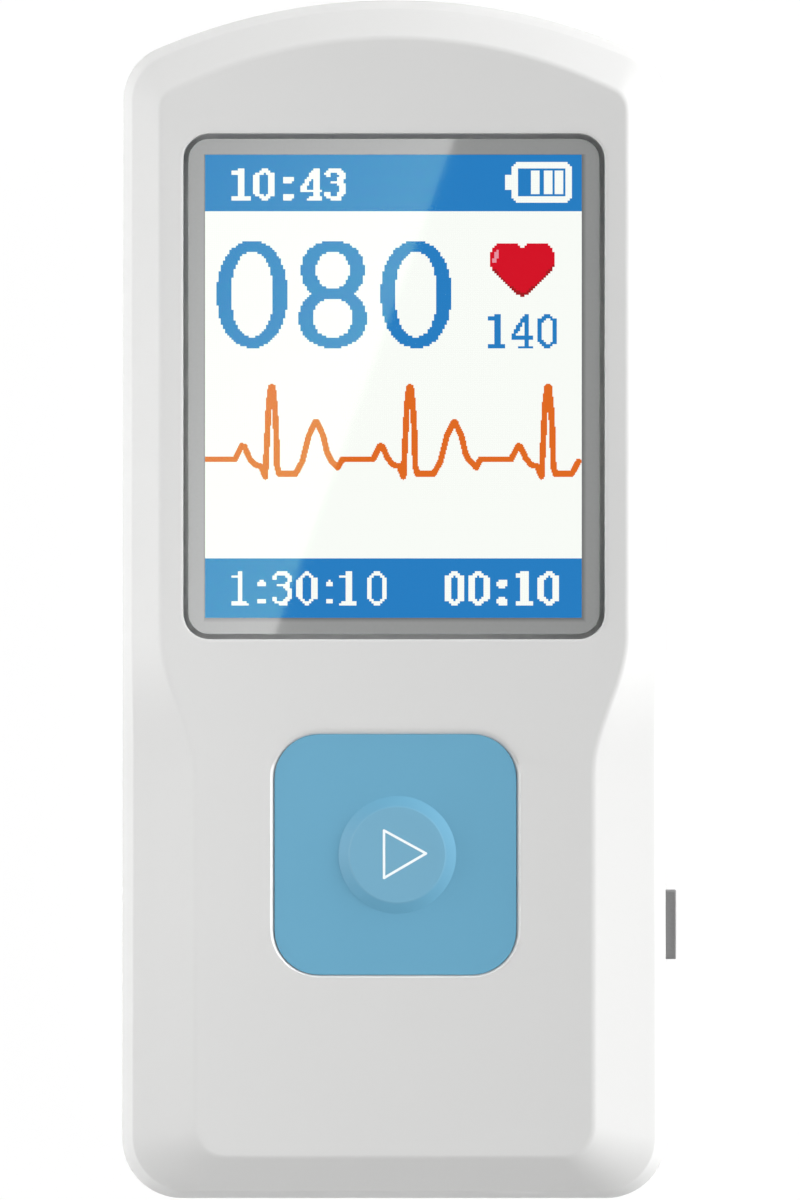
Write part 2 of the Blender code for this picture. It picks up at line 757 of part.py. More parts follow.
def cut_side_port(cover):
    """A shallow recess for the rubber cover, and behind it the socket's opening and the tether's."""
    face = port_face()
    recess = plate(
        "port_recess",
        cover_length() + 2 * FIT_GAP,
        cover_height() + 2 * FIT_GAP,
        COVER_CORNER_RADIUS + FIT_GAP,
        -COVER_RECESS_DEPTH,
        OVERRUN,
        place=(face, PORT_Y, SOCKET_HEIGHT_MIDDLE),
    )
    opening = plate(
        "port_opening",
        port_opening_width(),
        SOCKET_HEIGHT + 2 * FIT_GAP,
        SOCKET_CORNER_RADIUS + FIT_GAP,
        -WALL - OVERRUN,
        OVERRUN,
        place=(face, PORT_Y, SOCKET_HEIGHT_MIDDLE),
    )
    slot = plate(
        "tether_slot",
        TETHER_WIDTH + 2 * FIT_GAP,
        TETHER_THICKNESS + 2 * FIT_GAP,
        FIT_GAP,
        -WALL - OVERRUN,
        OVERRUN,
        place=(face, PORT_Y - tether_offset(), SOCKET_HEIGHT_MIDDLE),
    )
    for cutter in (recess, opening, slot):
        lay_on_side(cutter)
        carve(cover, cutter)


def rear_cover():
    """The back half: floor, walls, tongue, electrode pockets, screw bosses and the cell's pen."""
    cover = housing_half(
        "rear_cover",
        PARTING_HEIGHT - PARTING_GAP / 2,
        BACK_BEVEL_DEPTH,
        0,
        BODY_OUTLINE.inset(BACK_BEVEL),
        BACK_OUTER_EASE,
        BACK_FACE_EASE,
    )
    tongue_outline = BODY_OUTLINE.inset(WALL - TONGUE_THICKNESS)
    tongue = lofted(
        "tongue",
        [
            tongue_outline.points(PARTING_HEIGHT - OVERRUN),
            tongue_outline.points(PARTING_HEIGHT + TONGUE_HEIGHT),
        ],
    )
    carve(cover, tongue, "UNION")
    inner = BODY_OUTLINE.inset(WALL)
    hollow = lofted(
        "rear_hollow",
        [
            inner.inset(FLOOR_INSET).points(REAR_FLOOR),
            inner.points(REAR_FLOOR + FLOOR_EDGE_RISE),
            inner.points(PARTING_HEIGHT + TONGUE_HEIGHT + OVERRUN),
        ],
    )
    carve(cover, hollow)
    add_rear_bosses(cover)
    add_cell_pen(cover)
    cut_electrode_pockets(cover)


def add_rear_bosses(cover):
    """A boss for each screw, up to just under the board, with its hole and the head's recess."""
    recess_radius = SCREW_HEAD_RADIUS + FIT_GAP
    recess_top = SCREW_HEAD_SINK + SCREW_HEAD_HEIGHT + FIT_GAP
    hole_radius = SCREW_RADIUS + FIT_GAP
    boss_radius = recess_radius + REAR_BOSS_WALL
    for name, x, y in screw_places():
        boss = turned(
            "rear_boss_" + name,
            [(boss_radius, REAR_FLOOR / 2), (boss_radius, BOARD_BOTTOM - FIT_GAP)],
            place=(x, y, 0),
        )
        carve(cover, boss, "UNION")
        profile = [
            (recess_radius, -OVERRUN),
            (recess_radius, recess_top),
            (hole_radius, recess_top),
            (hole_radius, BOARD_BOTTOM + OVERRUN),
        ]
        carve(cover, turned("rear_boss_hole_" + name, profile, place=(x, y, 0)))


def add_cell_pen(cover):
    """Low ribs on the floor that keep the cell in its place."""
    half_width = CELL_WIDTH / 2 + PEN_GAP + PEN_RIB / 2
    half_length = CELL_LENGTH / 2 + PEN_GAP + PEN_RIB / 2
    places = {
        "left": (-half_width, 0, PEN_RIB, PEN_RIB_LENGTH),
        "right": (half_width, 0, PEN_RIB, PEN_RIB_LENGTH),
        "upper": (0, half_length, PEN_RIB_LENGTH, PEN_RIB),
        "lower": (0, -half_length, PEN_RIB_LENGTH, PEN_RIB),
    }
    for name, (x, y, width, length) in places.items():
        rib = plate(
            "pen_rib_" + name,
            width,
            length,
            PEN_RIB / 4,
            REAR_FLOOR / 2,
            REAR_FLOOR + PEN_RIB_HEIGHT,
            place=(x, CELL_Y + y, 0),
        )
        carve(cover, rib, "UNION")


def electrode_places():
    """Name, X, Y, width and length of each electrode on the back."""
    yield "finger_electrode_left", -FINGER_X, FINGER_Y, FINGER_WIDTH, FINGER_LENGTH
    yield "finger_electrode_right", FINGER_X, FINGER_Y, FINGER_WIDTH, FINGER_LENGTH
    yield "palm_electrode", 0, PALM_Y, PALM_WIDTH, PALM_LENGTH


def cut_electrode_pockets(cover):
    """A shallow pocket for each electrode, with a hole for its stud."""
    stud_hole = ELECTRODE_STUD_RADIUS + FIT_GAP
    for name, x, y, width, length in electrode_places():
        pocket = plate(
            name + "_pocket",
            width + 2 * FIT_GAP,
            length + 2 * FIT_GAP,
            ELECTRODE_CORNER_RADIUS + FIT_GAP,
            -OVERRUN,
            ELECTRODE_THICKNESS + FIT_GAP,
            place=(x, y, 0),
        )
        carve(cover, pocket)
        hole = turned(
            name + "_hole", [(stud_hole, 0), (stud_hole, REAR_FLOOR + OVERRUN)], place=(x, y, 0)
        )
        carve(cover, hole)


def screen_pieces():
    """The clear window, its tape, the foam below, the display and its tray."""
    middle = (0, WINDOW_Y, 0)
    lens_width = WINDOW_WIDTH - 2 * LENS_GAP
    lens_length = WINDOW_LENGTH - 2 * LENS_GAP
    plate(
        "screen_lens",
        lens_width,
        lens_length,
        LENS_CORNER_RADIUS,
        LENS_BOTTOM,
        LENS_TOP,
        clear_acrylic(),
        middle,
        LENS_EASE,
    )
    tape = plate(
        "lens_tape", lens_width, lens_length, LENS_CORNER_RADIUS, TAPE_BOTTOM, TAPE_TOP, grey_foam(), middle
    )
    carve(tape, screen_opening("tape_opening", TAPE_BOTTOM, TAPE_TOP))
    gasket = plate(
        "screen_gasket",
        SCREEN_WIDTH + 2 * GLASS_SIDE_BORDER,
        SCREEN_LENGTH + 2 * GASKET_MARGIN,
        LENS_CORNER_RADIUS / 2,
        GASKET_BOTTOM,
        GASKET_TOP,
        grey_foam(),
        middle,
    )
    carve(gasket, screen_opening("gasket_opening", GASKET_BOTTOM, GASKET_TOP))
    glass_place = (0, GLASS_Y, 0)
    plate(
        "lcd_glass",
        GLASS_WIDTH,
        GLASS_LENGTH,
        FIT_GAP,
        GLASS_BOTTOM,
        GLASS_TOP,
        screen_glass(),
        glass_place,
    )
    tray = plate(
        "lcd_frame",
        TRAY_WIDTH,
        TRAY_LENGTH,
        TRAY_WALL,
        TRAY_BOTTOM,
        TRAY_TOP,
        white_plastic(),
        glass_place,
    )
    pocket = plate(
        "tray_pocket",
        GLASS_WIDTH + 2 * FIT_GAP,
        GLASS_LENGTH + 2 * FIT_GAP,
        FIT_GAP,
        TRAY_BOTTOM + TRAY_FLOOR,
        TRAY_TOP + OVERRUN,
        place=glass_place,
    )
    carve(tray, pocket)
    notch = plate(
        "flex_notch",
        FLEX_WIDTH + 2 * FLEX_NOTCH,
        2 * (TRAY_WALL + FIT_GAP + OVERRUN),
        FIT_GAP,
        TRAY_BOTTOM + TRAY_FLOOR,
        TRAY_TOP + OVERRUN,
        place=(0, GLASS_Y - GLASS_LENGTH / 2, 0),
    )
    carve(tray, notch)


def screen_opening(name, bottom, top):
    """A cutter of the picture's size, plus a clearance all round."""
    return plate(
        name,
        SCREEN_WIDTH + 2 * LEDGE_CLEARANCE,
        SCREEN_LENGTH + 2 * LEDGE_CLEARANCE,
        SCREEN_OPENING_RADIUS,
        bottom - OVERRUN,
        top + OVERRUN,
        place=(0, WINDOW_Y, 0),
    )


def flex_pieces():
    """The display's ribbon, which steps down over the tray's end, and the connector it runs to."""
    start = GLASS_Y - GLASS_LENGTH / 2 - FIT_GAP
    high = GLASS_BOTTOM + GLASS_THICKNESS / 2
    low = high - FLEX_DROP
    bend = start - FLEX_REACH + FLEX_DROP + FLEX_BEND
    path = [
        (start, high),
        (bend + FLEX_BEND, high),
        (bend, high - FLEX_BEND / 4),
        (bend - FLEX_DROP, low + FLEX_BEND / 4),
        (bend - FLEX_DROP - FLEX_BEND, low),
        (start - FLEX_REACH - FLEX_BEND, low),
    ]
    strip("lcd_flex", path, FLEX_WIDTH, FLEX_THICKNESS, amber_film(), (0, 0, 0))
    end = path[-1][0]
    plate(
        "flex_connector",
        CONNECTOR_WIDTH,
        CONNECTOR_DEPTH,
        FIT_GAP,
        BOARD_TOP + FIT_GAP,
        BOARD_TOP + FIT_GAP + CONNECTOR_HEIGHT,
        black_plastic(),
        (0, end - FIT_GAP - CONNECTOR_DEPTH / 2, 0),
    )


def main_button():
    """The key: a hollow square cap with draft, a flange below, ribs and a post inside, a boss on top."""
    flange_width = KEY_WIDTH + 2 * KEY_FLANGE
    flange_radius = KEY_CORNER_RADIUS + KEY_FLANGE
    top_width = KEY_WIDTH - 2 * KEY_DRAFT
    top_radius = KEY_CORNER_RADIUS - KEY_DRAFT
    ease_width = top_width - 2 * KEY_EASE
    bottom = -KEY_STEM - KEY_FLANGE_THICKNESS
    loops = [
        rounded_rectangle(flange_width, flange_width, flange_radius, bottom),
        rounded_rectangle(flange_width, flange_width, flange_radius, -KEY_STEM),
        rounded_rectangle(KEY_WIDTH, KEY_WIDTH, KEY_CORNER_RADIUS, -KEY_STEM),
        rounded_rectangle(top_width, top_width, top_radius, -KEY_EASE),
        rounded_rectangle(ease_width, ease_width, top_radius - KEY_EASE, 0),
    ]
    place = (0, KEY_Y, KEY_TOP)
    key = lofted("main_button", loops, key_plastic(), place)
    hollow_width = KEY_WIDTH - 2 * KEY_WALL
    hollow = plate(
        "key_hollow",
        hollow_width,
        hollow_width,
        KEY_CORNER_RADIUS - KEY_WALL,
        bottom - OVERRUN,
        bottom + KEY_HOLLOW,
        place=place,
    )
    carve(key, hollow)
    rib_length = KEY_WIDTH - KEY_WALL
    for name, width, length in (("across", rib_length, KEY_RIB), ("along", KEY_RIB, rib_length)):
        rib = plate(
            "key_rib_" + name,
            width,
            length,
            KEY_RIB / 4,
            bottom + KEY_FLANGE_THICKNESS / 2,
            bottom + KEY_HOLLOW + KEY_RIB / 2,
            place=place,
        )
        carve(key, rib, "UNION")
    post = turned(
        "key_post",
        [(KEY_POST_RADIUS, key_post_bottom() - KEY_TOP), (KEY_POST_RADIUS, -KEY_WALL / 2)],
        place=place,
    )
    carve(key, post, "UNION")
    boss = turned(
        "key_boss",
        [
            (KEY_BOSS_RADIUS, -KEY_WALL / 2),
            (KEY_BOSS_RADIUS, 0),
            (KEY_BOSS_TOP_RADIUS, KEY_BOSS_HEIGHT),
        ],
        place=place,
        steps=BIG_ROUND_STEPS,
    )
    carve(key, boss, "UNION")


def switch_bottom():
    return BOARD_TOP + FIT_GAP


def plunger_top():
    """The plunger stands out by the travel, and by what is left of it when the key is home."""
    return switch_bottom() + SWITCH_HEIGHT + KEY_TRAVEL + PLUNGER_REST


def key_post_bottom():
    return plunger_top() + FIT_GAP


def switch_pieces():
    """The switch under the key: its body, the snap dome on its floor and its plunger."""
    middle = (0, KEY_Y, 0)
    bottom = switch_bottom()
    top = bottom + SWITCH_HEIGHT
    body = plate(
        "tact_switch_body",
        SWITCH_WIDTH,
        SWITCH_WIDTH,
        SWITCH_CORNER_RADIUS,
        bottom,
        top,
        black_plastic(),
        middle,
    )
    cavity_radius = PLUNGER_COLLAR_RADIUS + FIT_GAP
    neck_radius = PLUNGER_RADIUS + FIT_GAP
    cavity = turned(
        "switch_cavity",
        [
            (cavity_radius, bottom - OVERRUN),
            (cavity_radius, top - SWITCH_LID),
            (neck_radius, top - SWITCH_LID),
            (neck_radius, top + OVERRUN),
        ],
        place=middle,
    )
    carve(body, cavity)
    collar_top = top - SWITCH_LID - FIT_GAP
    turned(
        "tact_switch_plunger",
        [
            (PLUNGER_COLLAR_RADIUS, collar_top - PLUNGER_COLLAR - plunger_top()),
            (PLUNGER_COLLAR_RADIUS, collar_top - plunger_top()),
            (PLUNGER_RADIUS, collar_top - plunger_top()),
            (PLUNGER_RADIUS, 0),
        ],
        white_plastic(),
        (0, KEY_Y, plunger_top()),
    )
    crown = DOME_RADIUS / 3
    turned(
        "tact_switch_dome",
        [
            (DOME_RADIUS, 0),
            (DOME_RADIUS, DOME_THICKNESS),
            (crown * 2, DOME_THICKNESS + DOME_RISE * 2 / 3),
            (crown, DOME_THICKNESS + DOME_RISE),
        ],
        steel(),
        (0, KEY_Y, bottom),
    )


def main_pcb():
    """The board, which follows the inside of the housing, with a hole round each screw."""
    outline = BODY_OUTLINE.inset(WALL + BOARD_CLEARANCE)
    loops = [outline.points(BOARD_BOTTOM), outline.points(BOARD_TOP)]
    board = lofted("main_pcb", loops, board_green())
    for name, x, y in screw_places():
        profile = [
            (BOARD_HOLE_RADIUS, BOARD_BOTTOM - OVERRUN),
            (BOARD_HOLE_RADIUS, BOARD_TOP + OVERRUN),
        ]
        carve(board, turned("board_hole_" + name, profile, place=(x, y, 0)))


def chip(name, width, x, y, bottom, top):
    return plate(name, width, width, FIT_GAP, bottom, top, black_plastic(), (x, y, 0), CHIP_EASE)


def board_parts():
    """The buzzer and the processor below the key, and the amplifier between the finger springs."""
    seat = BOARD_TOP + FIT_GAP
    key_edge = KEY_Y - KEY_WIDTH / 2 - KEY_FLANGE
    row = key_edge - BUZZER_TO_KEY - BUZZER_RADIUS
    body = turned(
        "buzzer",
        [(BUZZER_RADIUS, seat), (BUZZER_RADIUS, seat + BUZZER_HEIGHT)],
        black_plastic(),
        (BUZZER_X, row, 0),
    )
    port = turned(
        "buzzer_port",
        [
            (BUZZER_PORT_RADIUS, seat + BUZZER_HEIGHT - BUZZER_PORT_DEPTH),
            (BUZZER_PORT_RADIUS, seat + BUZZER_HEIGHT + OVERRUN),
        ],
        place=(BUZZER_X, row, 0),
    )
    carve(body, port)
    chip("processor_chip", PROCESSOR_WIDTH, PROCESSOR_X, row, seat, seat + CHIP_HEIGHT)
    underside = BOARD_BOTTOM - FIT_GAP
    chip("amplifier_chip", AMPLIFIER_WIDTH, 0, FINGER_Y, underside - CHIP_HEIGHT, underside)


def cell_pieces():
    """The pouch cell on its foam, its socket under the board and the two short leads."""
    middle = (0, CELL_Y, 0)
    eased_radius = CELL_CORNER_RADIUS - CELL_EASE
    small = (CELL_WIDTH - 2 * CELL_EASE, CELL_LENGTH - 2 * CELL_EASE, eased_radius)
    full = (CELL_WIDTH, CELL_LENGTH, CELL_CORNER_RADIUS)
    loops = [
        rounded_rectangle(*small, CELL_BOTTOM),
        rounded_rectangle(*full, CELL_BOTTOM + CELL_EASE),
        rounded_rectangle(*full, CELL_TOP - CELL_EASE),
        rounded_rectangle(*small, CELL_TOP),
    ]
    lofted("battery", loops, foil(), middle)
    plate(
        "battery_foam",
        CELL_WIDTH - 2 * CELL_FOAM_MARGIN,
        CELL_LENGTH - 2 * CELL_FOAM_MARGIN,
        CELL_CORNER_RADIUS,
        FOAM_BOTTOM,
        FOAM_TOP,
        grey_foam(),
        middle,
    )
    cell_end = CELL_Y - CELL_LENGTH / 2
    socket_top = BOARD_BOTTOM - FIT_GAP
    socket_face = cell_end - 2 * FIT_GAP - LEAD_LENGTH
    plate(
        "battery_socket",
        CELL_SOCKET_WIDTH,
        CELL_SOCKET_DEPTH,
        FIT_GAP,
        socket_top - CELL_SOCKET_HEIGHT,
        socket_top,
        white_plastic(),
        (CELL_SOCKET_X, socket_face - CELL_SOCKET_DEPTH / 2, 0),
    )
    start_height = (CELL_BOTTOM + CELL_TOP) / 2
    end_height = socket_top - CELL_SOCKET_HEIGHT / 2
    leads = (("battery_lead_positive", 1, red_sleeve()), ("battery_lead_negative", -1, black_plastic()))
    for name, side, sleeve in leads:
        lead(name, side, sleeve, cell_end - FIT_GAP, start_height, socket_face + FIT_GAP, end_height)


def lead(name, side, sleeve, start_y, start_height, end_y, end_height):
    """One lead from the end of the cell to its socket, bowed a little to its own side."""
    curve = bpy.data.curves.new(name, "CURVE")
    curve.dimensions = "3D"
    curve.bevel_depth = LEAD_RADIUS
    curve.bevel_resolution = TUBE_SIDES_RESOLUTION
    curve.use_fill_caps = True
    spline = curve.splines.new("POLY")
    spline.points.add(LEAD_STEPS)
    for step, point in enumerate(spline.points):
        share = step / LEAD_STEPS
        blend = share * share * (3 - 2 * share)
        x = side * (LEAD_PITCH / 2 + LEAD_BOW * math.sin(math.pi * share) ** 2)
        y = start_y + (end_y - start_y) * share
        point.co = (x, y, start_height + (end_height - start_height) * blend, 1)
    add(name, curve, sleeve, (CELL_SOCKET_X, 0, 0))


def socket_pieces():
    """The charging socket: a drawn steel sleeve, closed behind, and the contact tongue in it."""
    mouth = port_face() - COVER_RECESS_DEPTH - SOCKET_SETBACK
    place = (mouth, PORT_Y, SOCKET_HEIGHT_MIDDLE)
    sleeve = plate(
        "charging_socket_shell",
        SOCKET_WIDTH,
        SOCKET_HEIGHT,
        SOCKET_CORNER_RADIUS,
        -SOCKET_DEPTH,
        0,
        steel(),
        place,
    )
    bore_width = SOCKET_WIDTH - 2 * SOCKET_WALL
    bore_height = SOCKET_HEIGHT - 2 * SOCKET_WALL
    bore = plate(
        "socket_bore",
        bore_width,
        bore_height,
        SOCKET_CORNER_RADIUS / 2,
        SOCKET_WALL - SOCKET_DEPTH,
        OVERRUN,
        place=place,
    )
    root_bottom = SOCKET_WALL + FIT_GAP - SOCKET_DEPTH
    root_top = root_bottom + SOCKET_TONGUE_ROOT
    root = plate(
        "charging_socket_tongue",
        bore_width - 2 * FIT_GAP,
        bore_height - 2 * FIT_GAP,
        SOCKET_CORNER_RADIUS / 3,
        root_bottom,
        root_top,
        black_plastic(),
        place,
    )
    blade = plate(
        "socket_blade",
        SOCKET_TONGUE_WIDTH,
        SOCKET_TONGUE_THICKNESS,
        SOCKET_TONGUE_THICKNESS / 4,
        root_top - SOCKET_TONGUE_ROOT / 2,
        root_bottom + SOCKET_TONGUE_LENGTH,
        place=place,
    )
    for piece in (sleeve, bore, root, blade):
        lay_on_side(piece)
    carve(sleeve, bore)
    carve(root, blade, "UNION")


def port_cover():
    """The moulded rubber cover: a flush plate, a pull tab, a nose in the socket and a tether."""
    place = (port_face(), PORT_Y, SOCKET_HEIGHT_MIDDLE)
    back = FIT_GAP - COVER_RECESS_DEPTH
    cover = plate(
        "port_cover",
        cover_length(),
        cover_height(),
        COVER_CORNER_RADIUS,
        back,
        0,
        grey_rubber(),
        place,
        COVER_EASE,
    )
    tab = plate(
        "cover_tab", TAB_WIDTH, TAB_THICKNESS, TAB_EASE, back / 2, TAB_REACH, place=place, ease=TAB_EASE
    )
    nose = plate("cover_nose", NOSE_WIDTH, NOSE_THICKNESS, TAB_EASE, back - NOSE_REACH, back / 2, place=place)
    tether_place = (place[0], place[1] - tether_offset(), place[2])
    head_top = -WALL - COVER_TRAVEL - TETHER_SLACK
    tether = plate(
        "cover_tether",
        TETHER_WIDTH,
        TETHER_THICKNESS,
        TAB_EASE,
        head_top - TETHER_HEAD_THICKNESS / 2,
        back / 2,
        place=tether_place,
    )
    head = plate(
        "tether_head",
        TETHER_HEAD_WIDTH,
        TETHER_HEAD_HEIGHT,
        TAB_EASE,
        head_top - TETHER_HEAD_THICKNESS,
        head_top,
        place=tether_place,
    )
    for piece in (cover, tab, nose, tether, head):
        lay_on_side(piece)
    for piece in (tab, nose, tether, head):
        carve(cover, piece, "UNION")


def electrodes():
    """Three steel electrodes, flush with the back, each with a stud through the floor."""
    for name, x, y, width, length in electrode_places():
        small_radius = ELECTRODE_CORNER_RADIUS - ELECTRODE_EASE
        small = (width - 2 * ELECTRODE_EASE, length - 2 * ELECTRODE_EASE, small_radius)
        full = (width, length, ELECTRODE_CORNER_RADIUS)
        loops = [
            rounded_rectangle(*small, 0),
            rounded_rectangle(*full, ELECTRODE_EASE),
            rounded_rectangle(*full, ELECTRODE_THICKNESS),
        ]
        electrode = lofted(name, loops, steel(), (x, y, 0))
        stud = turned(
            name + "_stud",
            [
                (ELECTRODE_STUD_RADIUS, ELECTRODE_THICKNESS / 2),
                (ELECTRODE_STUD_RADIUS, STUD_TOP),
            ],
            place=(x, y, 0),
        )
        carve(electrode, stud, "UNION")


def contact_springs():
    """A bent gold-plated leaf from the board down to each electrode's stud."""
    low = STUD_TOP + FIT_GAP + SPRING_THICKNESS / 2
    high = BOARD_BOTTOM - FIT_GAP - SPRING_THICKNESS / 2
    path = [
        (reach_share * SPRING_REACH, low + (high - low) * height_share)
        for reach_share, height_share in SPRING_SHAPE_SHARES
    ]
    names = ("contact_spring_left", "contact_spring_right", "contact_spring_palm")
    for name, (_, x, y, _, _) in zip(names, electrode_places()):
        strip(name, path, SPRING_WIDTH, SPRING_THICKNESS, gold_plate(), (x, y, 0))


def case_screws():
    """Four screws, heads down in the back, with a round socket for the driver."""
    head_bottom = SCREW_HEAD_SINK
    head_top = head_bottom + SCREW_HEAD_HEIGHT
    tip = head_top + SCREW_LENGTH
    for name, x, y in screw_places():
        screw = turned(
            "case_screw_" + name,
            [
                (SCREW_HEAD_RADIUS, head_bottom),
                (SCREW_HEAD_RADIUS, head_top),
                (SCREW_RADIUS, head_top),
                (SCREW_RADIUS, tip - SCREW_TIP),
                (SCREW_RADIUS / 3, tip),
            ],
            steel(),
            (x, y, 0),
        )
        socket = turned(
            "screw_socket_" + name,
            [
                (SCREW_SOCKET_RADIUS, head_bottom - OVERRUN),
                (SCREW_SOCKET_RADIUS, head_bottom + SCREW_SOCKET_DEPTH),
            ],
            place=(x, y, 0),
            steps=SCREW_SOCKET_SIDES,
        )
        carve(screw, socket)


start_scene()
rear_cover()
electrodes()
contact_springs()
cell_pieces()
main_pcb()
board_parts()
switch_pieces()
socket_pieces()
flex_pieces()
screen_pieces()
main_button()
port_cover()
front_cover()
case_screws()
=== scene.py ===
"""The look of the hand-held ECG monitor: it lies on its back, seen from straight above.

The file follows the monitor as it is put together: the back half with its steel plates and screws, the
board and cell, the display and its picture, the front half, the clear window, the key and the rubber cover.
Lengths are in metres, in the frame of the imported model. +Z points out of the screen.
"""

import math

import bmesh
import bpy
from mathutils.kdtree import KDTree
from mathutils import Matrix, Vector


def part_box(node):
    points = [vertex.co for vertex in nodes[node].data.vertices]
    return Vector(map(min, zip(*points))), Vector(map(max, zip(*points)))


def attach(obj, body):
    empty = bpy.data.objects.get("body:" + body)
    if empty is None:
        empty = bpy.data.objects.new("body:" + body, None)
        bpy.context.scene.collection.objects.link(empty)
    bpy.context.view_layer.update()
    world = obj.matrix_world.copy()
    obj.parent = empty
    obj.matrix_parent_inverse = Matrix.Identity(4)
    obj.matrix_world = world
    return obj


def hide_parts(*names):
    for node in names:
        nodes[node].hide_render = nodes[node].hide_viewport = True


MM = 0.001

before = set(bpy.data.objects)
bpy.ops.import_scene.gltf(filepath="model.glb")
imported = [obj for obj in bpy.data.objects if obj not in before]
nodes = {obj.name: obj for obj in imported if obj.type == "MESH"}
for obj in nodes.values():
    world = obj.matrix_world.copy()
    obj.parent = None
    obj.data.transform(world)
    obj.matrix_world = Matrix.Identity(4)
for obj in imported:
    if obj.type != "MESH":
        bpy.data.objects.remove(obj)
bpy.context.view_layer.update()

# The camera hangs straight above the monitor, a metre over its face, with a long lens that sees
# a stretch of table a little longer than the monitor.
CAMERA_RISE = 1.0
CAMERA_AIM = (0.50 * MM, -0.08 * MM, 13.5 * MM)
VIEW_LENGTH = 99.99 * MM
NEAREST_SEEN = 10 * MM
SENSOR_LENGTH = 36.0
bpy.ops.object.select_all(action="DESELECT")
bpy.ops.object.camera_add(
    location=(CAMERA_AIM[0], CAMERA_AIM[1], CAMERA_AIM[2] + CAMERA_RISE), rotation=(0, 0, 0)
)
camera = bpy.context.object
camera.data.lens = SENSOR_LENGTH * CAMERA_RISE / VIEW_LENGTH
camera.data.clip_start = NEAREST_SEEN
bpy.context.scene.camera = camera
bpy.context.scene.view_settings.view_transform = "Standard"


# The light comes from low white walls: on the right, more towards the arched end, and close to the table
# on the left. A soft lamp hangs near, on the left, so the face is lighter on that side. The camera and
# glass see a white room in their place, and low down gloss and metal mirror it.
class Wire:
    """A shader value that plain arithmetic works on: each operator adds its Math node."""

    def __init__(self, recipe, socket):
        self.recipe = recipe
        self.socket = socket

    def __add__(self, other):
        return self.recipe.maths("ADD", self, other)

    def __sub__(self, other):
        return self.recipe.maths("SUBTRACT", self, other)

    def __rsub__(self, other):
        return self.recipe.maths("SUBTRACT", other, self)

    def __mul__(self, other):
        return self.recipe.maths("MULTIPLY", self, other)

    def __truediv__(self, other):
        return self.recipe.maths("DIVIDE", self, other)

    def __lt__(self, other):
        return self.recipe.maths("LESS_THAN", self, other)

    def __pow__(self, other):
        return self.recipe.maths("POWER", self, other)

    __radd__ = __add__
    __rmul__ = __mul__

    def at_least(self, other):
        return self.recipe.maths("MAXIMUM", self, other)

    def back_and_forth(self, reach):
        """Rises from 0 to the reach and falls back again, over and over."""
        return self.recipe.maths("PINGPONG", self, reach)

    def eased(self, low, high):
        """0 below low, 1 above high, and a smooth step between them."""
        settings = {"interpolation_type": "SMOOTHSTEP"}
        return self.recipe.add("ShaderNodeMapRange", settings, {0: self, 1: low, 2: high})


class Recipe:
    """The nodes of one finish, or of the light round the table."""

    def __init__(self, name):
        self.material = bpy.data.materials.new(name)
        self.material.use_nodes = True
        self.tree = self.material.node_tree
        self.tree.nodes.clear()

    def add(self, kind, settings=None, inputs=None, output=0):
        """A node of this kind. Its settings come first, then the values or wires of its sockets."""
        node = self.tree.nodes.new(kind)
        for setting, value in (settings or {}).items():
            setattr(node, setting, value)
        for place, value in (inputs or {}).items():
            if isinstance(value, Wire):
                self.tree.links.new(value.socket, node.inputs[place])
            else:
                node.inputs[place].default_value = value
        return Wire(self, node.outputs[output]) if node.outputs else node

    def maths(self, operation, *values):
        return self.add("ShaderNodeMath", {"operation": operation}, dict(enumerate(values)))

    def parts(self, vector):
        """The X, Y and Z of a vector, as three values."""
        separated = self.add("ShaderNodeSeparateXYZ", inputs={0: vector}).socket.node
        return [Wire(self, socket) for socket in separated.outputs]

    def spot(self):
        """The place on the piece, in metres."""
        return self.add("ShaderNodeTexCoord", output="Object")

    def grain(self, fineness, detail=2.0, stretch=None):
        """Soft noise, with features about one over the fineness long."""
        place = self.spot()
        if stretch:
            place = self.add("ShaderNodeVectorMath", {"operation": "MULTIPLY"}, {0: place, 1: stretch})
        return self.add("ShaderNodeTexNoise", inputs={"Vector": place, "Scale": fineness, "Detail": detail})

    def blend(self, share, first, second):
        """A colour between two others."""
        colours = [value if isinstance(value, Wire) else (*value, 1) for value in (first, second)]
        inputs = {0: share, 6: colours[0], 7: colours[1]}
        return self.add("ShaderNodeMix", {"data_type": "RGBA"}, inputs, 2)

    def relief(self, height, strength, depth):
        """A bumpy normal from a height between 0 and 1."""
        return self.add("ShaderNodeBump", inputs={"Strength": strength, "Distance": depth, "Height": height})

    def ends(self, shader):
        """Makes this shader the finish, and gives the material."""
        self.add("ShaderNodeOutputMaterial", inputs={"Surface": shader})
        return self.material

    def surface(self, **sockets):
        """A Principled surface as the finish. An underscore stands for a space in a socket's name."""
        inputs = {name.replace("_", " "): value for name, value in sockets.items()}
        return self.ends(self.add("ShaderNodeBsdfPrincipled", inputs=inputs))


class SkyRecipe(Recipe):
    """The same nodes for the light round the table."""

    def __init__(self, name):
        world = bpy.data.worlds.new(name)
        world.use_nodes = True
        self.tree = world.node_tree
        self.tree.nodes.clear()
        bpy.context.scene.world = world


# Each bright stretch: its turn from +X in degrees, its strength, and how fast it rises from the table and
# fades upwards.
BRIGHT_STRETCHES = ((0, 410.0, 2, 4), (35, 7.5, 0, 1), (180, 9.5, 0, 4), (180, 3.8, 0, 2))


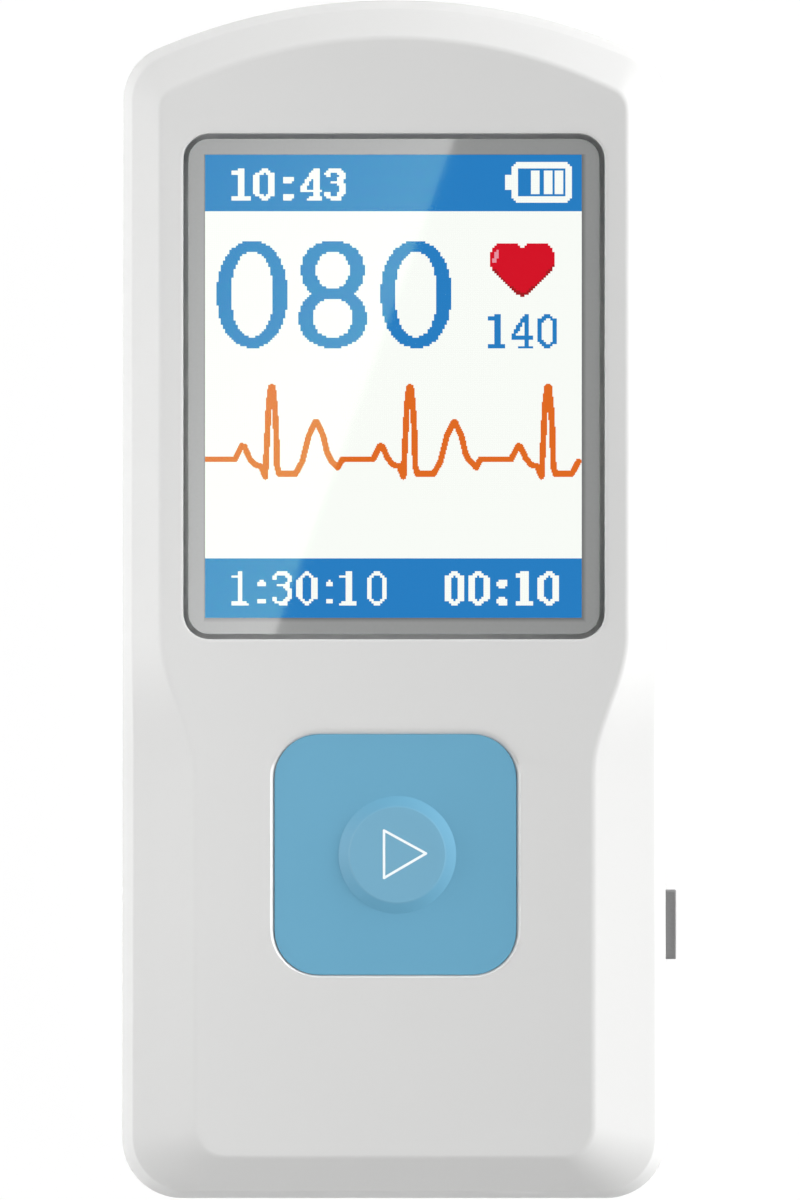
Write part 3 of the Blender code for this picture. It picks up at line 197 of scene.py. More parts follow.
def low_walls():
    narrowness = 4
    white_below = (0.25, 0.6)
    sky = SkyRecipe("low_walls")
    across, along, height = sky.parts(sky.add("ShaderNodeTexCoord", output="Generated"))
    glow = 0
    for turn, strength, rising, fading in BRIGHT_STRETCHES:
        turn = math.radians(turn)
        lean = (across * math.cos(turn) + along * math.sin(turn)).at_least(0)
        glow = glow + strength * lean**narrowness * height**rising * (1 - height) ** fading
    ray = sky.add("ShaderNodeLightPath").socket.node.outputs
    sees_room = Wire(sky, ray["Is Camera Ray"]).at_least(Wire(sky, ray["Is Transmission Ray"]))
    low_mirror = Wire(sky, ray["Is Glossy Ray"]) * (1 - height.eased(*white_below))
    sees_room = sees_room.at_least(low_mirror)
    strength = glow * (1 - sees_room) + sees_room
    light = sky.add("ShaderNodeBackground", inputs={"Color": (1, 1, 1, 1), "Strength": strength})
    sky.add("ShaderNodeOutputWorld", inputs={"Surface": light})


def soft_lamp():
    place = (-100 * MM, -10 * MM, 150 * MM)
    size = 100 * MM
    watts = 0.103
    bpy.ops.object.select_all(action="DESELECT")
    tilt = -math.atan2(-place[0], place[2])
    bpy.ops.object.light_add(type="AREA", location=place, rotation=(0, tilt, 0))
    lamp = bpy.context.object
    lamp.name = lamp.data.name = "soft_lamp"
    lamp.data.size = size
    lamp.data.energy = watts


low_walls()
soft_lamp()


# The table is plain white. The camera, glass and metal see it as lit evenly, with a faint shadow of the
# monitor. A white card with a slanting edge hangs high over it and is mirrored in the clear window.
def white_table():
    evenly = 0.965
    recipe = Recipe("white_table")
    ray = recipe.add("ShaderNodeLightPath").socket.node.outputs
    seen = Wire(recipe, ray["Is Camera Ray"]).at_least(Wire(recipe, ray["Is Glossy Ray"]))
    seen = seen.at_least(Wire(recipe, ray["Is Transmission Ray"]))
    lit = recipe.add("ShaderNodeBsdfDiffuse", inputs={"Color": (0.8, 0.8, 0.8, 1)})
    faint = recipe.add("ShaderNodeBsdfDiffuse", inputs={"Color": (0.05, 0.05, 0.05, 1)})
    even = recipe.add("ShaderNodeEmission", inputs={"Color": (1, 1, 1, 1), "Strength": evenly})
    shown = recipe.add("ShaderNodeAddShader", inputs={0: even, 1: faint})
    return recipe.ends(recipe.add("ShaderNodeMixShader", inputs={0: seen, 1: lit, 2: shown}))


def card_white():
    """Light that grows towards the right and towards the lower end."""
    level, sideways, lengthways = 2.90, 38.0, -17.5
    least = 0.5
    recipe = Recipe("card_white")
    across, along, _ = recipe.parts(recipe.spot())
    strength = (level + sideways * across + lengthways * along).at_least(least)
    light = recipe.add("ShaderNodeEmission", inputs={"Color": (1, 1, 1, 1), "Strength": strength})
    return recipe.ends(light)


def flat_sheet(name, corners, height, finish):
    """A flat sheet for the studio, with its corners at these places."""
    bpy.ops.object.select_all(action="DESELECT")
    bpy.ops.mesh.primitive_plane_add(size=1)
    sheet = bpy.context.object
    sheet.name = sheet.data.name = name
    for vertex, (x, y) in zip(sheet.data.vertices, corners):
        vertex.co = (x, y, height)
    sheet.data.materials.append(finish)
    return sheet


TABLE_HALF = 2.0
TABLE_DROP = 0.02 * MM
TABLE_CORNERS = [(x, y) for y in (-TABLE_HALF, TABLE_HALF) for x in (-TABLE_HALF, TABLE_HALF)]
flat_sheet("table", TABLE_CORNERS, -TABLE_DROP, white_table())
CARD_HEIGHT = 0.5147
CARD_CORNERS = [
    (-60 * MM, -14 * MM),
    (-18.6 * MM, -14 * MM),
    (-60 * MM, 66 * MM),
    (10.4 * MM, 66 * MM),
]
card = flat_sheet("window_card", CARD_CORNERS, CARD_HEIGHT, card_white())
card.visible_camera = False


# The back half is moulded in light grey plastic: a floor with a bevelled rim, walls, a tongue for the front
# half, pockets for the steel plates, ribs round the cell, and tall bosses for the four screws that hold the
# halves together.
def arc(centre, radius, start, end, steps):
    """Points along an arc, both ends included."""
    turns = [start + (end - start) * step / steps for step in range(steps + 1)]
    return [(centre[0] + radius * math.cos(turn), centre[1] + radius * math.sin(turn)) for turn in turns]


class Outline:
    """One closed outline of the housing seen from the front, mirrored about X = 0."""

    hip_steps = 16
    waist_steps = 26
    shoulder_steps = 14
    arch_steps = 24
    waist_low = -14.55 * MM
    waist_high = -2.95 * MM

    def __init__(self, ends, halves, radii, waisted=False):
        self.bottom, self.top = ends
        self.hip_half, self.shoulder_half = halves
        self.hip_radius, self.shoulder_radius, self.top_radius = radii
        self.waisted = waisted

    def inset(self, distance, least_radius=0.3 * MM):
        """The same outline, drawn this far further in."""
        radii = [self.hip_radius - distance, self.shoulder_radius - distance, self.top_radius - distance]
        return Outline(
            (self.bottom + distance, self.top - distance),
            (self.hip_half - distance, self.shoulder_half - distance),
            [max(radius, least_radius) for radius in radii],
            self.waisted,
        )

    def shoulder_centre(self):
        """Centre of the arc that joins the side to the arched end."""
        x = self.shoulder_half - self.shoulder_radius
        reach = self.top_radius - self.shoulder_radius
        return x, self.top - self.top_radius + math.sqrt(reach**2 - x**2)

    def half_at(self, y):
        """Half of the width at this Y: a smooth waist on the face, a slight taper on the outside."""
        low, high = self.bottom + self.hip_radius, self.shoulder_centre()[1]
        if self.waisted:
            low, high = self.waist_low, self.waist_high
        share = min(max((y - low) / (high - low), 0), 1)
        if self.waisted:
            share = share * share * (3 - 2 * share)
        return self.hip_half + (self.shoulder_half - self.hip_half) * share

    def points(self, height):
        """The outline as points at one height. Every outline has as many, feature by feature."""
        centre = (self.hip_half - self.hip_radius, self.bottom + self.hip_radius)
        right = arc(centre, self.hip_radius, -math.pi / 2, 0, self.hip_steps)
        for step in range(self.waist_steps + 1):
            y = self.waist_low + (self.waist_high - self.waist_low) * step / self.waist_steps
            right.append((self.half_at(y), y))
        centre = self.shoulder_centre()
        arch_centre = (0, self.top - self.top_radius)
        turn = math.atan2(centre[1] - arch_centre[1], centre[0])
        right += arc(centre, self.shoulder_radius, 0, turn, self.shoulder_steps)
        right += arc(arch_centre, self.top_radius, turn, math.pi / 2, self.arch_steps)[1:]
        left = [(-x, y) for x, y in reversed(right[:-1])]
        return [(x, y, height) for x, y in right + left]


BODY_BOTTOM, BODY_TOP = -50.0 * MM, 50.0 * MM
BODY_HIP_HALF, BODY_SHOULDER_HALF = 22.7 * MM, 22.6 * MM
BODY_RADII = (5.0 * MM, 4.7 * MM, 50.0 * MM)
BODY = Outline((BODY_BOTTOM, BODY_TOP), (BODY_HIP_HALF, BODY_SHOULDER_HALF), BODY_RADII)
WALL = 1.8 * MM
JOINT_HEIGHT = 6.2 * MM
JOINT_GAP = 0.3 * MM
TONGUE_HEIGHT = 1.0 * MM
TONGUE_WALL = 0.6 * MM
FLOOR_TOP = 2.2 * MM
SCREW_HOLE_RADIUS = 1.15 * MM
OVERRUN = 1.0 * MM
SCREWS = [name for name in nodes if name.startswith("case_screw")]
STEEL_PLATES = [name for name in nodes if name.endswith("electrode") or name.startswith("finger_electrode")]


def middle_of(node):
    """The middle of a node, seen from the front."""
    low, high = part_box(node)
    return (low.x + high.x) / 2, (low.y + high.y) / 2


def circle(radius, height, centre=(0, 0), steps=48):
    return [(x, y, height) for x, y in arc(centre, radius, 0, 2 * math.pi, steps)[:-1]]


def rounded_rectangle(width, length, radius, height, centre=(0, 0), steps=10):
    """A rectangle with round corners, as points at one height."""
    x, y = width / 2 - radius, length / 2 - radius
    quarter = math.pi / 2
    points = []
    for turn, (side_x, side_y) in enumerate(((1, -1), (1, 1), (-1, 1), (-1, -1))):
        corner = (centre[0] + side_x * x, centre[1] + side_y * y)
        points += arc(corner, radius, (turn - 1) * quarter, turn * quarter, steps)
    return [(x, y, height) for x, y in points]


def block(size, radius, heights, centre=(0, 0), steps=10):
    """Outlines of an upright block with round corners."""
    return [rounded_rectangle(*size, radius, height, centre, steps) for height in heights]


def towards(start, end, reach):
    """The place this far from start on the way to end."""
    share = reach / math.dist(start, end)
    return tuple(s + (e - s) * share for s, e in zip(start, end))


def eased_corner(before, corner, after, reach, steps=4):
    """A curve that starts this far before the corner and ends this far after it."""
    places = (towards(corner, before, reach), corner, towards(corner, after, reach))
    curve = []
    for step in range(steps + 1):
        t = step / steps
        shares = ((1 - t) ** 2, 2 * t * (1 - t), t**2)
        curve.append(tuple(sum(s * p[axis] for s, p in zip(shares, places)) for axis in range(3)))
    return curve


def bevelled_skin(foot, edge, face, band, face_ease):
    """Outlines up a wall from foot to edge, over the bevel to face and a little way onto the face. A narrow,
    steeper band, from this far down the wall to this far up the bevel, takes off the edge."""
    band_ease = 0.1 * MM
    sections = []
    for low, corner, rim in zip(foot, edge, face):
        below, above = towards(corner, low, band[0]), towards(corner, rim, band[1])
        onward = (2 * rim[0] - corner[0], 2 * rim[1] - corner[1], rim[2])
        section = [low]
        section += eased_corner(low, below, above, band_ease)
        section += eased_corner(below, above, rim, band_ease)
        section += eased_corner(above, rim, onward, face_ease)
        sections.append(section)
    return [list(loop) for loop in zip(*sections)]


def drawn_up(name, outlines):
    """A closed solid: a flat sheet is set on the first outline, then extruded and set on each next one."""
    bpy.ops.object.select_all(action="DESELECT")
    bpy.ops.mesh.primitive_circle_add(vertices=len(outlines[0]), fill_type="NGON")
    piece = bpy.context.object
    piece.name = piece.data.name = name
    for vertex, point in zip(piece.data.vertices, outlines[0]):
        vertex.co = point
    bpy.ops.object.mode_set(mode="EDIT")
    bpy.ops.mesh.select_all(action="SELECT")
    for before, after in zip(outlines, outlines[1:]):
        bpy.ops.mesh.extrude_region_move()
        places = KDTree(len(before))
        for index, point in enumerate(before):
            places.insert(point, index)
        places.balance()
        mesh = bmesh.from_edit_mesh(piece.data)
        for vertex in mesh.verts:
            if vertex.select:
                vertex.co = after[places.find(vertex.co)[1]]
        bmesh.update_edit_mesh(piece.data)
    bpy.ops.mesh.select_all(action="SELECT")
    bpy.ops.mesh.normals_make_consistent(inside=False)
    bpy.ops.object.mode_set(mode="OBJECT")
    return piece


def carve(piece, tool, operation="DIFFERENCE"):
    """Cuts the tool out of the piece, or with UNION joins it on."""
    bpy.ops.object.select_all(action="DESELECT")
    bpy.context.view_layer.objects.active = piece
    bpy.ops.object.modifier_add(type="BOOLEAN")
    boolean = piece.modifiers[-1]
    boolean.operation = operation
    boolean.object = tool
    bpy.ops.object.modifier_apply(modifier=boolean.name)
    bpy.data.objects.remove(tool)


def dressed(piece, finish, body, replaced=None, smooth_below=32):
    """Smooths a finished piece, gives it its finish and says what it rides on and stands for."""
    bpy.ops.object.select_all(action="DESELECT")
    piece.select_set(True)
    bpy.context.view_layer.objects.active = piece
    bpy.ops.object.shade_smooth_by_angle(angle=math.radians(smooth_below))
    bpy.ops.object.modifier_add(type="WEIGHTED_NORMAL")
    piece.modifiers[-1].keep_sharp = True
    bpy.ops.object.modifier_apply(modifier=piece.modifiers[-1].name)
    piece.data.materials.clear()
    piece.data.materials.append(finish)
    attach(piece, body)
    if replaced:
        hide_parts(replaced)
    return piece


def moulded_grey():
    recipe = Recipe("moulded_grey")
    cloud = recipe.grain(60.0)
    colour = recipe.blend(cloud, (0.650, 0.650, 0.645), (0.670, 0.670, 0.665))
    speckle = recipe.grain(8000.0, detail=3.0)
    return recipe.surface(
        Base_Color=colour,
        Roughness=0.40 + 0.08 * recipe.grain(1500.0),
        Normal=recipe.relief(speckle, strength=0.12, depth=0.02 * MM),
    )


HOUSING_FINISH = moulded_grey()


def upright(name, radii_and_heights, centre):
    """A round post or hole, from radii and heights."""
    return drawn_up(name, [circle(radius, height, centre) for radius, height in radii_and_heights])


def screw_bosses(half):
    """Tall bosses on the floor, each with a deep recess for its screw's head."""
    boss_radius, boss_top = 2.9 * MM, 6.9 * MM
    head_radius, recess_top = 2.1 * MM, 2.4 * MM
    for place in map(middle_of, SCREWS):
        carve(half, upright("boss", [(boss_radius, FLOOR_TOP / 2), (boss_radius, boss_top)], place), "UNION")
        recess = [(head_radius, -OVERRUN), (head_radius, recess_top)]
        hole = [(SCREW_HOLE_RADIUS, recess_top), (SCREW_HOLE_RADIUS, 2 * boss_top)]
        carve(half, upright("hole", recess + hole, place))


def cell_ribs(half):
    """Four short ribs on the floor that keep the cell in its place."""
    wall, length, corner = 0.8 * MM, 14 * MM, 0.2 * MM
    side, side_y = 15.9 * MM, 1 * MM
    upper_y, lower_y = 21.9 * MM, -19.9 * MM
    rib_top = 4.0 * MM
    along, across = (wall, length), (length, wall)
    ribs = [((x, side_y), along) for x in (-side, side)] + [((0, y), across) for y in (upper_y, lower_y)]
    for place, size in ribs:
        carve(half, drawn_up("rib", block(size, corner, (FLOOR_TOP / 2, rib_top), place)), "UNION")


def plate_pockets(half):
    """A pocket for each steel plate, with a hole for its stud."""
    fit, corner, depth = 0.3 * MM, 3.3 * MM, 1.1 * MM
    stud_hole = 1.8 * MM
    for name in STEEL_PLATES:
        place = middle_of(name)
        low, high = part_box(name)
        size = (high.x - low.x + 2 * fit, high.y - low.y + 2 * fit)
        carve(half, drawn_up("pocket", block(size, corner, (-OVERRUN, depth), place)))
        carve(half, upright("stud_hole", [(stud_hole, 0), (stud_hole, FLOOR_TOP + OVERRUN)], place))


def back_half():
    rim_inset, rim_height = 2.2 * MM, 2.4 * MM
    rim_band, rim_ease = (0.5 * MM, 0.5 * MM), 0.4 * MM
    back_face = BODY.inset(rim_inset).points(0)
    foot = BODY.points(JOINT_HEIGHT - JOINT_GAP / 2)
    half = drawn_up("back_half", bevelled_skin(foot, BODY.points(rim_height), back_face, rim_band, rim_ease))
    tongue = BODY.inset(WALL - TONGUE_WALL)
    tongue_top = JOINT_HEIGHT + TONGUE_HEIGHT
    tongue_loops = [tongue.points(height) for height in (JOINT_HEIGHT - OVERRUN, tongue_top)]
    carve(half, drawn_up("tongue", tongue_loops), "UNION")
    floor_inset, floor_edge_rise = 1.0 * MM, 1.6 * MM
    inner = BODY.inset(WALL)
    hollow = [
        inner.inset(floor_inset).points(FLOOR_TOP),
        inner.points(FLOOR_TOP + floor_edge_rise),
        inner.points(tongue_top + OVERRUN),
    ]
    carve(half, drawn_up("hollow", hollow))
    screw_bosses(half)
    cell_ribs(half)
    plate_pockets(half)
    dressed(half, HOUSING_FINISH, "housing", "rear_cover")


back_half()


# The three electrodes on the back are flat stainless plates with a brushed grain along the monitor. Their
# springs are gold-plated leaves, and the four screws are plain bright steel.
def brushed_steel(name, stretch, fineness=900.0):
    recipe = Recipe(name)
    lines = recipe.grain(fineness, detail=4.0, stretch=stretch)
    return recipe.surface(
        Base_Color=recipe.blend(lines, (0.52, 0.52, 0.51), (0.68, 0.67, 0.66)),
        Metallic=1.0,
        Roughness=0.24 + 0.14 * lines,
        Normal=recipe.relief(lines, strength=0.15, depth=0.01 * MM),
    )


def finish_nodes(finish, *names):
    """Gives nodes that keep their own shape their finish."""
    for name in names:
        nodes[name].material_slots[0].material = finish


def gold_plate():
    recipe = Recipe("gold_plate")
    wear = recipe.grain(1200.0)
    return recipe.surface(
        Base_Color=recipe.blend(wear, (0.76, 0.52, 0.20), (0.84, 0.62, 0.30)),
        Metallic=1.0,
        Roughness=0.22 + 0.12 * wear,
    )


finish_nodes(brushed_steel("electrode_steel", stretch=(9.0, 0.12, 1.0)), *STEEL_PLATES)
finish_nodes(brushed_steel("screw_steel", stretch=(1.0, 1.0, 0.3), fineness=2500.0), *SCREWS)
finish_nodes(gold_plate(), "contact_spring_left", "contact_spring_right", "contact_spring_palm")


# The board is green glass-cloth laminate under solder resist. Moulded black chips, a buzzer, the ribbon's
# connector and a white cell socket are soldered on it.
def solder_resist():
    recipe = Recipe("solder_resist")
    weave = recipe.grain(3500.0, detail=3.0)
    track_edge = (0.52, 0.56)
    copper = recipe.grain(260.0, detail=1.0, stretch=(1.0, 2.5, 1.0)).eased(*track_edge)
    return recipe.surface(
        Base_Color=recipe.blend(copper, (0.012, 0.13, 0.055), (0.03, 0.21, 0.09)),
        Roughness=0.32 + 0.1 * weave,
        Normal=recipe.relief(copper, strength=0.4, depth=0.03 * MM),
    )


def moulded(name, dark, light, roughness, fineness=5000.0, strength=0.3):
    """A moulded plastic, rubber or foam: a fine grain in its colour, its gloss and its surface."""
    recipe = Recipe(name)
    grain = recipe.grain(fineness, detail=3.0)
    return recipe.surface(
        Base_Color=recipe.blend(grain, dark, light),
        Roughness=roughness + 0.08 * recipe.grain(fineness / 4),
        Normal=recipe.relief(grain, strength, depth=0.03 * MM),
    )


BLACK_PLASTIC = moulded("black_plastic", (0.014, 0.014, 0.016), (0.026, 0.026, 0.028), roughness=0.5)
WHITE_PLASTIC = moulded("white_plastic", (0.76, 0.76, 0.74), (0.84, 0.84, 0.82), roughness=0.45)
FOAM = moulded(
    "grey_foam", (0.29, 0.30, 0.30), (0.42, 0.43, 0.43), roughness=0.85, fineness=3000.0, strength=0.8
)
finish_nodes(solder_resist(), "main_pcb")
finish_nodes(BLACK_PLASTIC, "buzzer", "processor_chip", "amplifier_chip", "flex_connector")
finish_nodes(WHITE_PLASTIC, "battery_socket")


# The cell is a pouch in dull foil. It lies on a sheet of foam between the ribs, with a red and a black
# lead to its socket.
def pouch_foil():
    recipe = Recipe("pouch_foil")
    creases = recipe.grain(350.0, detail=4.0)
    return recipe.surface(
        Base_Color=recipe.blend(creases, (0.48, 0.49, 0.51), (0.62, 0.63, 0.65)),
        Metallic=1.0,
        Roughness=0.34 + 0.12 * creases,
        Normal=recipe.relief(creases, strength=0.35, depth=0.1 * MM),
    )


finish_nodes(pouch_foil(), "battery")
finish_nodes(FOAM, "battery_foam")
RED_SLEEVE = moulded("red_sleeve", (0.42, 0.015, 0.012), (0.56, 0.03, 0.02), roughness=0.4)
BLACK_SLEEVE = moulded("black_sleeve", (0.012, 0.012, 0.013), (0.03, 0.03, 0.03), roughness=0.4)
finish_nodes(RED_SLEEVE, "battery_lead_positive")
finish_nodes(BLACK_SLEEVE, "battery_lead_negative")


# The charging socket in the right-hand wall is a drawn steel sleeve round a moulded black tongue. It is
# soldered to the edge of the board.
SOCKET_STEEL = brushed_steel("socket_steel", stretch=(0.3, 1.0, 1.0), fineness=2500.0)
finish_nodes(SOCKET_STEEL, "charging_socket_shell")
finish_nodes(BLACK_PLASTIC, "charging_socket_tongue")


# The switch under the key has a moulded black body, a steel snap dome and a white plunger. It is soldered
# to the board.
finish_nodes(BLACK_PLASTIC, "tact_switch_body")
finish_nodes(brushed_steel("dome_steel", stretch=(1.0, 1.0, 1.0), fineness=1500.0), "tact_switch_dome")
finish_nodes(WHITE_PLASTIC, "tact_switch_plunger")


# The display is a slab of dark glass in a white tray, with an amber ribbon. It is lit from behind, dot by
# dot: its picture is made of raised dots, so curves and slopes have the steps of a real panel.
def display_glass():
    recipe = Recipe("display_glass")
    haze = recipe.grain(400.0)
    return recipe.surface(
        Base_Color=recipe.blend(haze, (0.030, 0.034, 0.038), (0.042, 0.046, 0.050)),
        Roughness=0.06 + 0.06 * haze,
    )


def amber_film():
    """Film with fine copper tracks along it."""
    half_pitch, half_track = 0.25 * MM, 0.1 * MM
    recipe = Recipe("amber_film")
    track = recipe.parts(recipe.spot())[0].back_and_forth(half_pitch) < half_track
    return recipe.surface(
        Base_Color=recipe.blend(track, (0.36, 0.13, 0.02), (0.56, 0.27, 0.08)),
        Roughness=0.3 + 0.1 * track,
    )


finish_nodes(display_glass(), "lcd_glass")
finish_nodes(WHITE_PLASTIC, "lcd_frame")
finish_nodes(amber_film(), "lcd_flex")
DOT_WIDTH = 0.1800 * MM
DOT_LENGTH = 0.1790 * MM
PICTURE_LEFT = -15.92 * MM
PICTURE_TOP = 37.23 * MM
PICTURE_COLUMNS = 176
PICTURE_ROWS = 218
GLASS_TOP = 10.8 * MM
LAYER = 0.02 * MM
MARK_BOTTOM = GLASS_TOP + LAYER
BAR_MARK_BOTTOM = GLASS_TOP + 2 * LAYER


def lit_dots(name, colour, strength=1.084):
    """Light of one colour, a little darker along the lines between the dots."""
    half_dot, line_share, line_light = 0.5, 0.06, 0.94
    recipe = Recipe(name)
    across, along, _ = recipe.parts(recipe.spot())
    lines = [
        ((place - edge) / size).back_and_forth(half_dot) < line_share
        for place, edge, size in ((across, PICTURE_LEFT, DOT_WIDTH), (along, PICTURE_TOP, DOT_LENGTH))
    ]
    dimmed = tuple(line_light * part for part in colour)
    shown = recipe.blend(lines[0].at_least(lines[1]), colour, dimmed)
    return recipe.surface(
        Base_Color=(0.002, 0.002, 0.002, 1),
        Roughness=0.6,
        Specular_IOR_Level=0.0,
        Emission_Color=shown,
        Emission_Strength=strength,
    )


def picture_middle(columns, rows):
    """The middle of a stretch of the picture."""
    return PICTURE_LEFT + DOT_WIDTH * sum(columns) / 2, PICTURE_TOP - DOT_LENGTH * sum(rows) / 2


def dots(name, finish, bottom, columns, rows, lit, fine=1):
    """A raised piece of the picture: a sheet of dots loses the unlit ones, and the rest are drawn up.
    With fine=2 its dots are half as large."""
    across = (columns[1] - columns[0]) * fine
    down = (rows[1] - rows[0]) * fine
    middle = (*picture_middle(columns, rows), bottom)
    bpy.ops.object.select_all(action="DESELECT")
    bpy.ops.mesh.primitive_grid_add(x_subdivisions=across, y_subdivisions=down, size=1, location=middle)
    piece = bpy.context.object
    piece.name = piece.data.name = name
    piece.scale = (across * DOT_WIDTH / fine, down * DOT_LENGTH / fine, 1)
    bpy.ops.object.transform_apply(location=True, scale=True)
    bpy.ops.object.mode_set(mode="EDIT")
    bpy.ops.mesh.select_mode(type="FACE")
    mesh = bmesh.from_edit_mesh(piece.data)
    for face in mesh.faces:
        place = face.calc_center_median()
        face.select_set(not lit((place.x - PICTURE_LEFT) / DOT_WIDTH, (PICTURE_TOP - place.y) / DOT_LENGTH))
    bmesh.update_edit_mesh(piece.data)
    bpy.ops.mesh.delete(type="FACE")
    bpy.ops.mesh.select_all(action="SELECT")
    bpy.ops.mesh.extrude_region_move(TRANSFORM_OT_translate={"value": (0, 0, LAYER)})
    bpy.ops.mesh.select_all(action="SELECT")
    bpy.ops.mesh.normals_make_consistent(inside=False)
    bpy.ops.object.mode_set(mode="OBJECT")
    piece.data.materials.append(finish)
    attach(piece, "housing")


def panel(name, finish, bottom, columns, rows):
    """A plain rectangle of the picture, with eased edges."""
    width = (columns[1] - columns[0]) * DOT_WIDTH
    length = (rows[1] - rows[0]) * DOT_LENGTH
    middle = picture_middle(columns, rows)
    radius, ease, steps = DOT_WIDTH / 5, LAYER / 4, 3
    sheets = block((width, length), radius, (bottom, bottom + LAYER - ease), middle, steps)
    sheets += block((width - 2 * ease, length - 2 * ease), radius, (bottom + LAYER,), middle, steps)
    dressed(drawn_up(name, sheets), finish, "housing")


PANEL_BLUE = lit_dots("panel_blue", (0.021, 0.205, 0.532))
PANEL_WHITE = lit_dots("panel_white", (0.972, 1.0, 0.955), strength=1.046)
BAR_ROWS = 27
LOWER_BAR_ROW = 189
panel("picture_ground", PANEL_WHITE, GLASS_TOP, (0, PICTURE_COLUMNS), (0, PICTURE_ROWS))
panel("upper_bar", PANEL_BLUE, MARK_BOTTOM, (0, PICTURE_COLUMNS), (0, BAR_ROWS))
panel("lower_bar", PANEL_BLUE, MARK_BOTTOM, (0, PICTURE_COLUMNS), (LOWER_BAR_ROW, PICTURE_ROWS))


# The small numbers are lit white in the two bars and blue under the heart. Each is a few strokes in a box
# 10 dots wide and 15 high, given as half a stroke's width and the points it runs through.
GLYPHS = {
    "0": (
        (1.5, ((1.55, 3.5), (1.55, 11.6))),
        (1.5, ((8.5, 3.5), (8.5, 11.6))),
        (1.0, ((1.9, 11.9), (4.4, 14.0), (5.7, 14.0), (8.2, 11.9))),
        (1.0, ((1.9, 3.2), (4.4, 1.0), (5.7, 1.0), (8.2, 3.2))),
    ),
    "1": (
        (1.6, ((4.4, -2.0), (4.4, 17.0))),
        (0.95, ((0.9, 12.9), (3.0, 12.9))),
        (0.9, ((0.9, 0.8), (7.9, 0.8))),
    ),
    "3": (
        (1.3, ((1.6, 12.2), (1.7, 12.2))),
        (0.9, ((1.6, 12.9), (3.3, 14.2), (6.8, 14.2))),
        (1.4, ((7.3, 13.4), (8.7, 12.2), (8.7, 11.0), (7.0, 9.2))),
        (0.9, ((3.4, 8.6), (6.8, 8.6))),
        (1.5, ((7.0, 8.2), (8.6, 6.6), (8.6, 4.0), (7.0, 2.1))),
        (0.9, ((6.9, 1.0), (3.5, 1.0), (1.8, 2.3))),
        (1.3, ((1.5, 3.1), (1.6, 3.1))),
    ),
    "4": (
        (1.6, ((7.5, -2.0), (7.5, 17.0))),
        (1.15, ((7.0, 14.2), (1.4, 6.0), (1.4, 5.0))),
        (0.8, ((0.9, 4.7), (9.6, 4.7))),
        (0.8, ((3.6, 0.7), (9.6, 0.7))),
    ),
    ":": ((1.7, ((1.7, 9.6), (3.3, 9.6))), (1.7, ((1.7, 1.7), (3.3, 1.7)))),
}
GLYPH_HEIGHT = 15
GLYPH_REACH = 10.6


def off_line(place, start, end):
    """How far a place is from a straight stroke."""
    least_square = 1e-9
    run = (end[0] - start[0], end[1] - start[1])
    square = max(run[0] ** 2 + run[1] ** 2, least_square)
    share = ((place[0] - start[0]) * run[0] + (place[1] - start[1]) * run[1]) / square
    share = min(max(share, 0), 1)
    return math.dist(place, (start[0] + share * run[0], start[1] + share * run[1]))


def on_path(place, path, half_width):
    return any(off_line(place, start, end) <= half_width for start, end in zip(path, path[1:]))


def numbers(name, finish, bottom, text, starts, rows, weight=1.0):
    """A run of numbers: each has its own first column, and they share their rows."""

    def lit(x, y):
        up = GLYPH_HEIGHT * (rows[1] - y) / (rows[1] - rows[0])
        return any(
            on_path((x - start, up), path, half * weight)
            for digit, start in zip(text, starts)
            if start <= x < start + GLYPH_REACH
            for half, path in GLYPHS[digit]
        )

    columns = (math.floor(starts[0]), math.ceil(starts[-1] + GLYPH_REACH))
    dots(name, finish, bottom, columns, rows, lit)


CLOCK_STARTS = (13.1, 23.4, 36.9, 45.0, 56.0)
CLOCK_ROWS = (7, 22)
TIMER_STARTS = (111.5, 122.7, 136.1, 144.5, 155.4)
SPAN_STARTS = (12.3, 24.5, 31.5, 43.0, 56.0, 63.0, 75.5)
LOWER_ROWS = (195, 211)
LIMIT_STARTS = (131.8, 142.6, 154.6)
LIMIT_ROWS = (75, 91)
numbers("clock_numbers", PANEL_WHITE, BAR_MARK_BOTTOM, "10:43", CLOCK_STARTS, CLOCK_ROWS)
numbers("timer_numbers", PANEL_WHITE, BAR_MARK_BOTTOM, "00:10", TIMER_STARTS, LOWER_ROWS)
numbers("span_numbers", PANEL_WHITE, BAR_MARK_BOTTOM, "1:30:10", SPAN_STARTS, LOWER_ROWS, weight=0.7)
numbers("limit_numbers", PANEL_BLUE, MARK_BOTTOM, "140", LIMIT_STARTS, LIMIT_ROWS, weight=0.85)


# The mark of the cell's charge is lit white at the right of the upper bar. It is a rounded frame with a
# nub on its left and three of its four bars.
def charge_mark():
    column, row = 143, 4
    width, height = 28, 19
    wall, chamfer = 3, 2.5
    nub_columns, nub_rows = (140, 144), (10, 17)
    bars, bar_rows = ((152, 156), (158, 162), (163, 167)), (8, 19)

    def lit(x, y):
        across, down = x - column, y - row
        near = min(across, width - across), min(down, height - down)
        if min(near) > 0 and sum(near) > chamfer and min(near) < wall:
            return True
        if nub_columns[0] < x < nub_columns[1] and nub_rows[0] < y < nub_rows[1]:
            return True
        return bar_rows[0] < y < bar_rows[1] and any(low < x < high for low, high in bars)

    columns, rows = (nub_columns[0], column + width), (row, row + height)
    dots("charge_mark", PANEL_WHITE, BAR_MARK_BOTTOM, columns, rows, lit)


charge_mark()


# The pulse is lit blue, in large numbers under the upper bar. Each is a ring between two ovals, and the
# eight is two such rings.
def oval(place, centre, half_width, half_height, power=2.15):
    """Under 1 inside an oval that is a little squarer than an ellipse, and 1 on it."""
    across, down = abs(place[0] - centre[0]) / half_width, abs(place[1] - centre[1]) / half_height
    return across**power + down**power


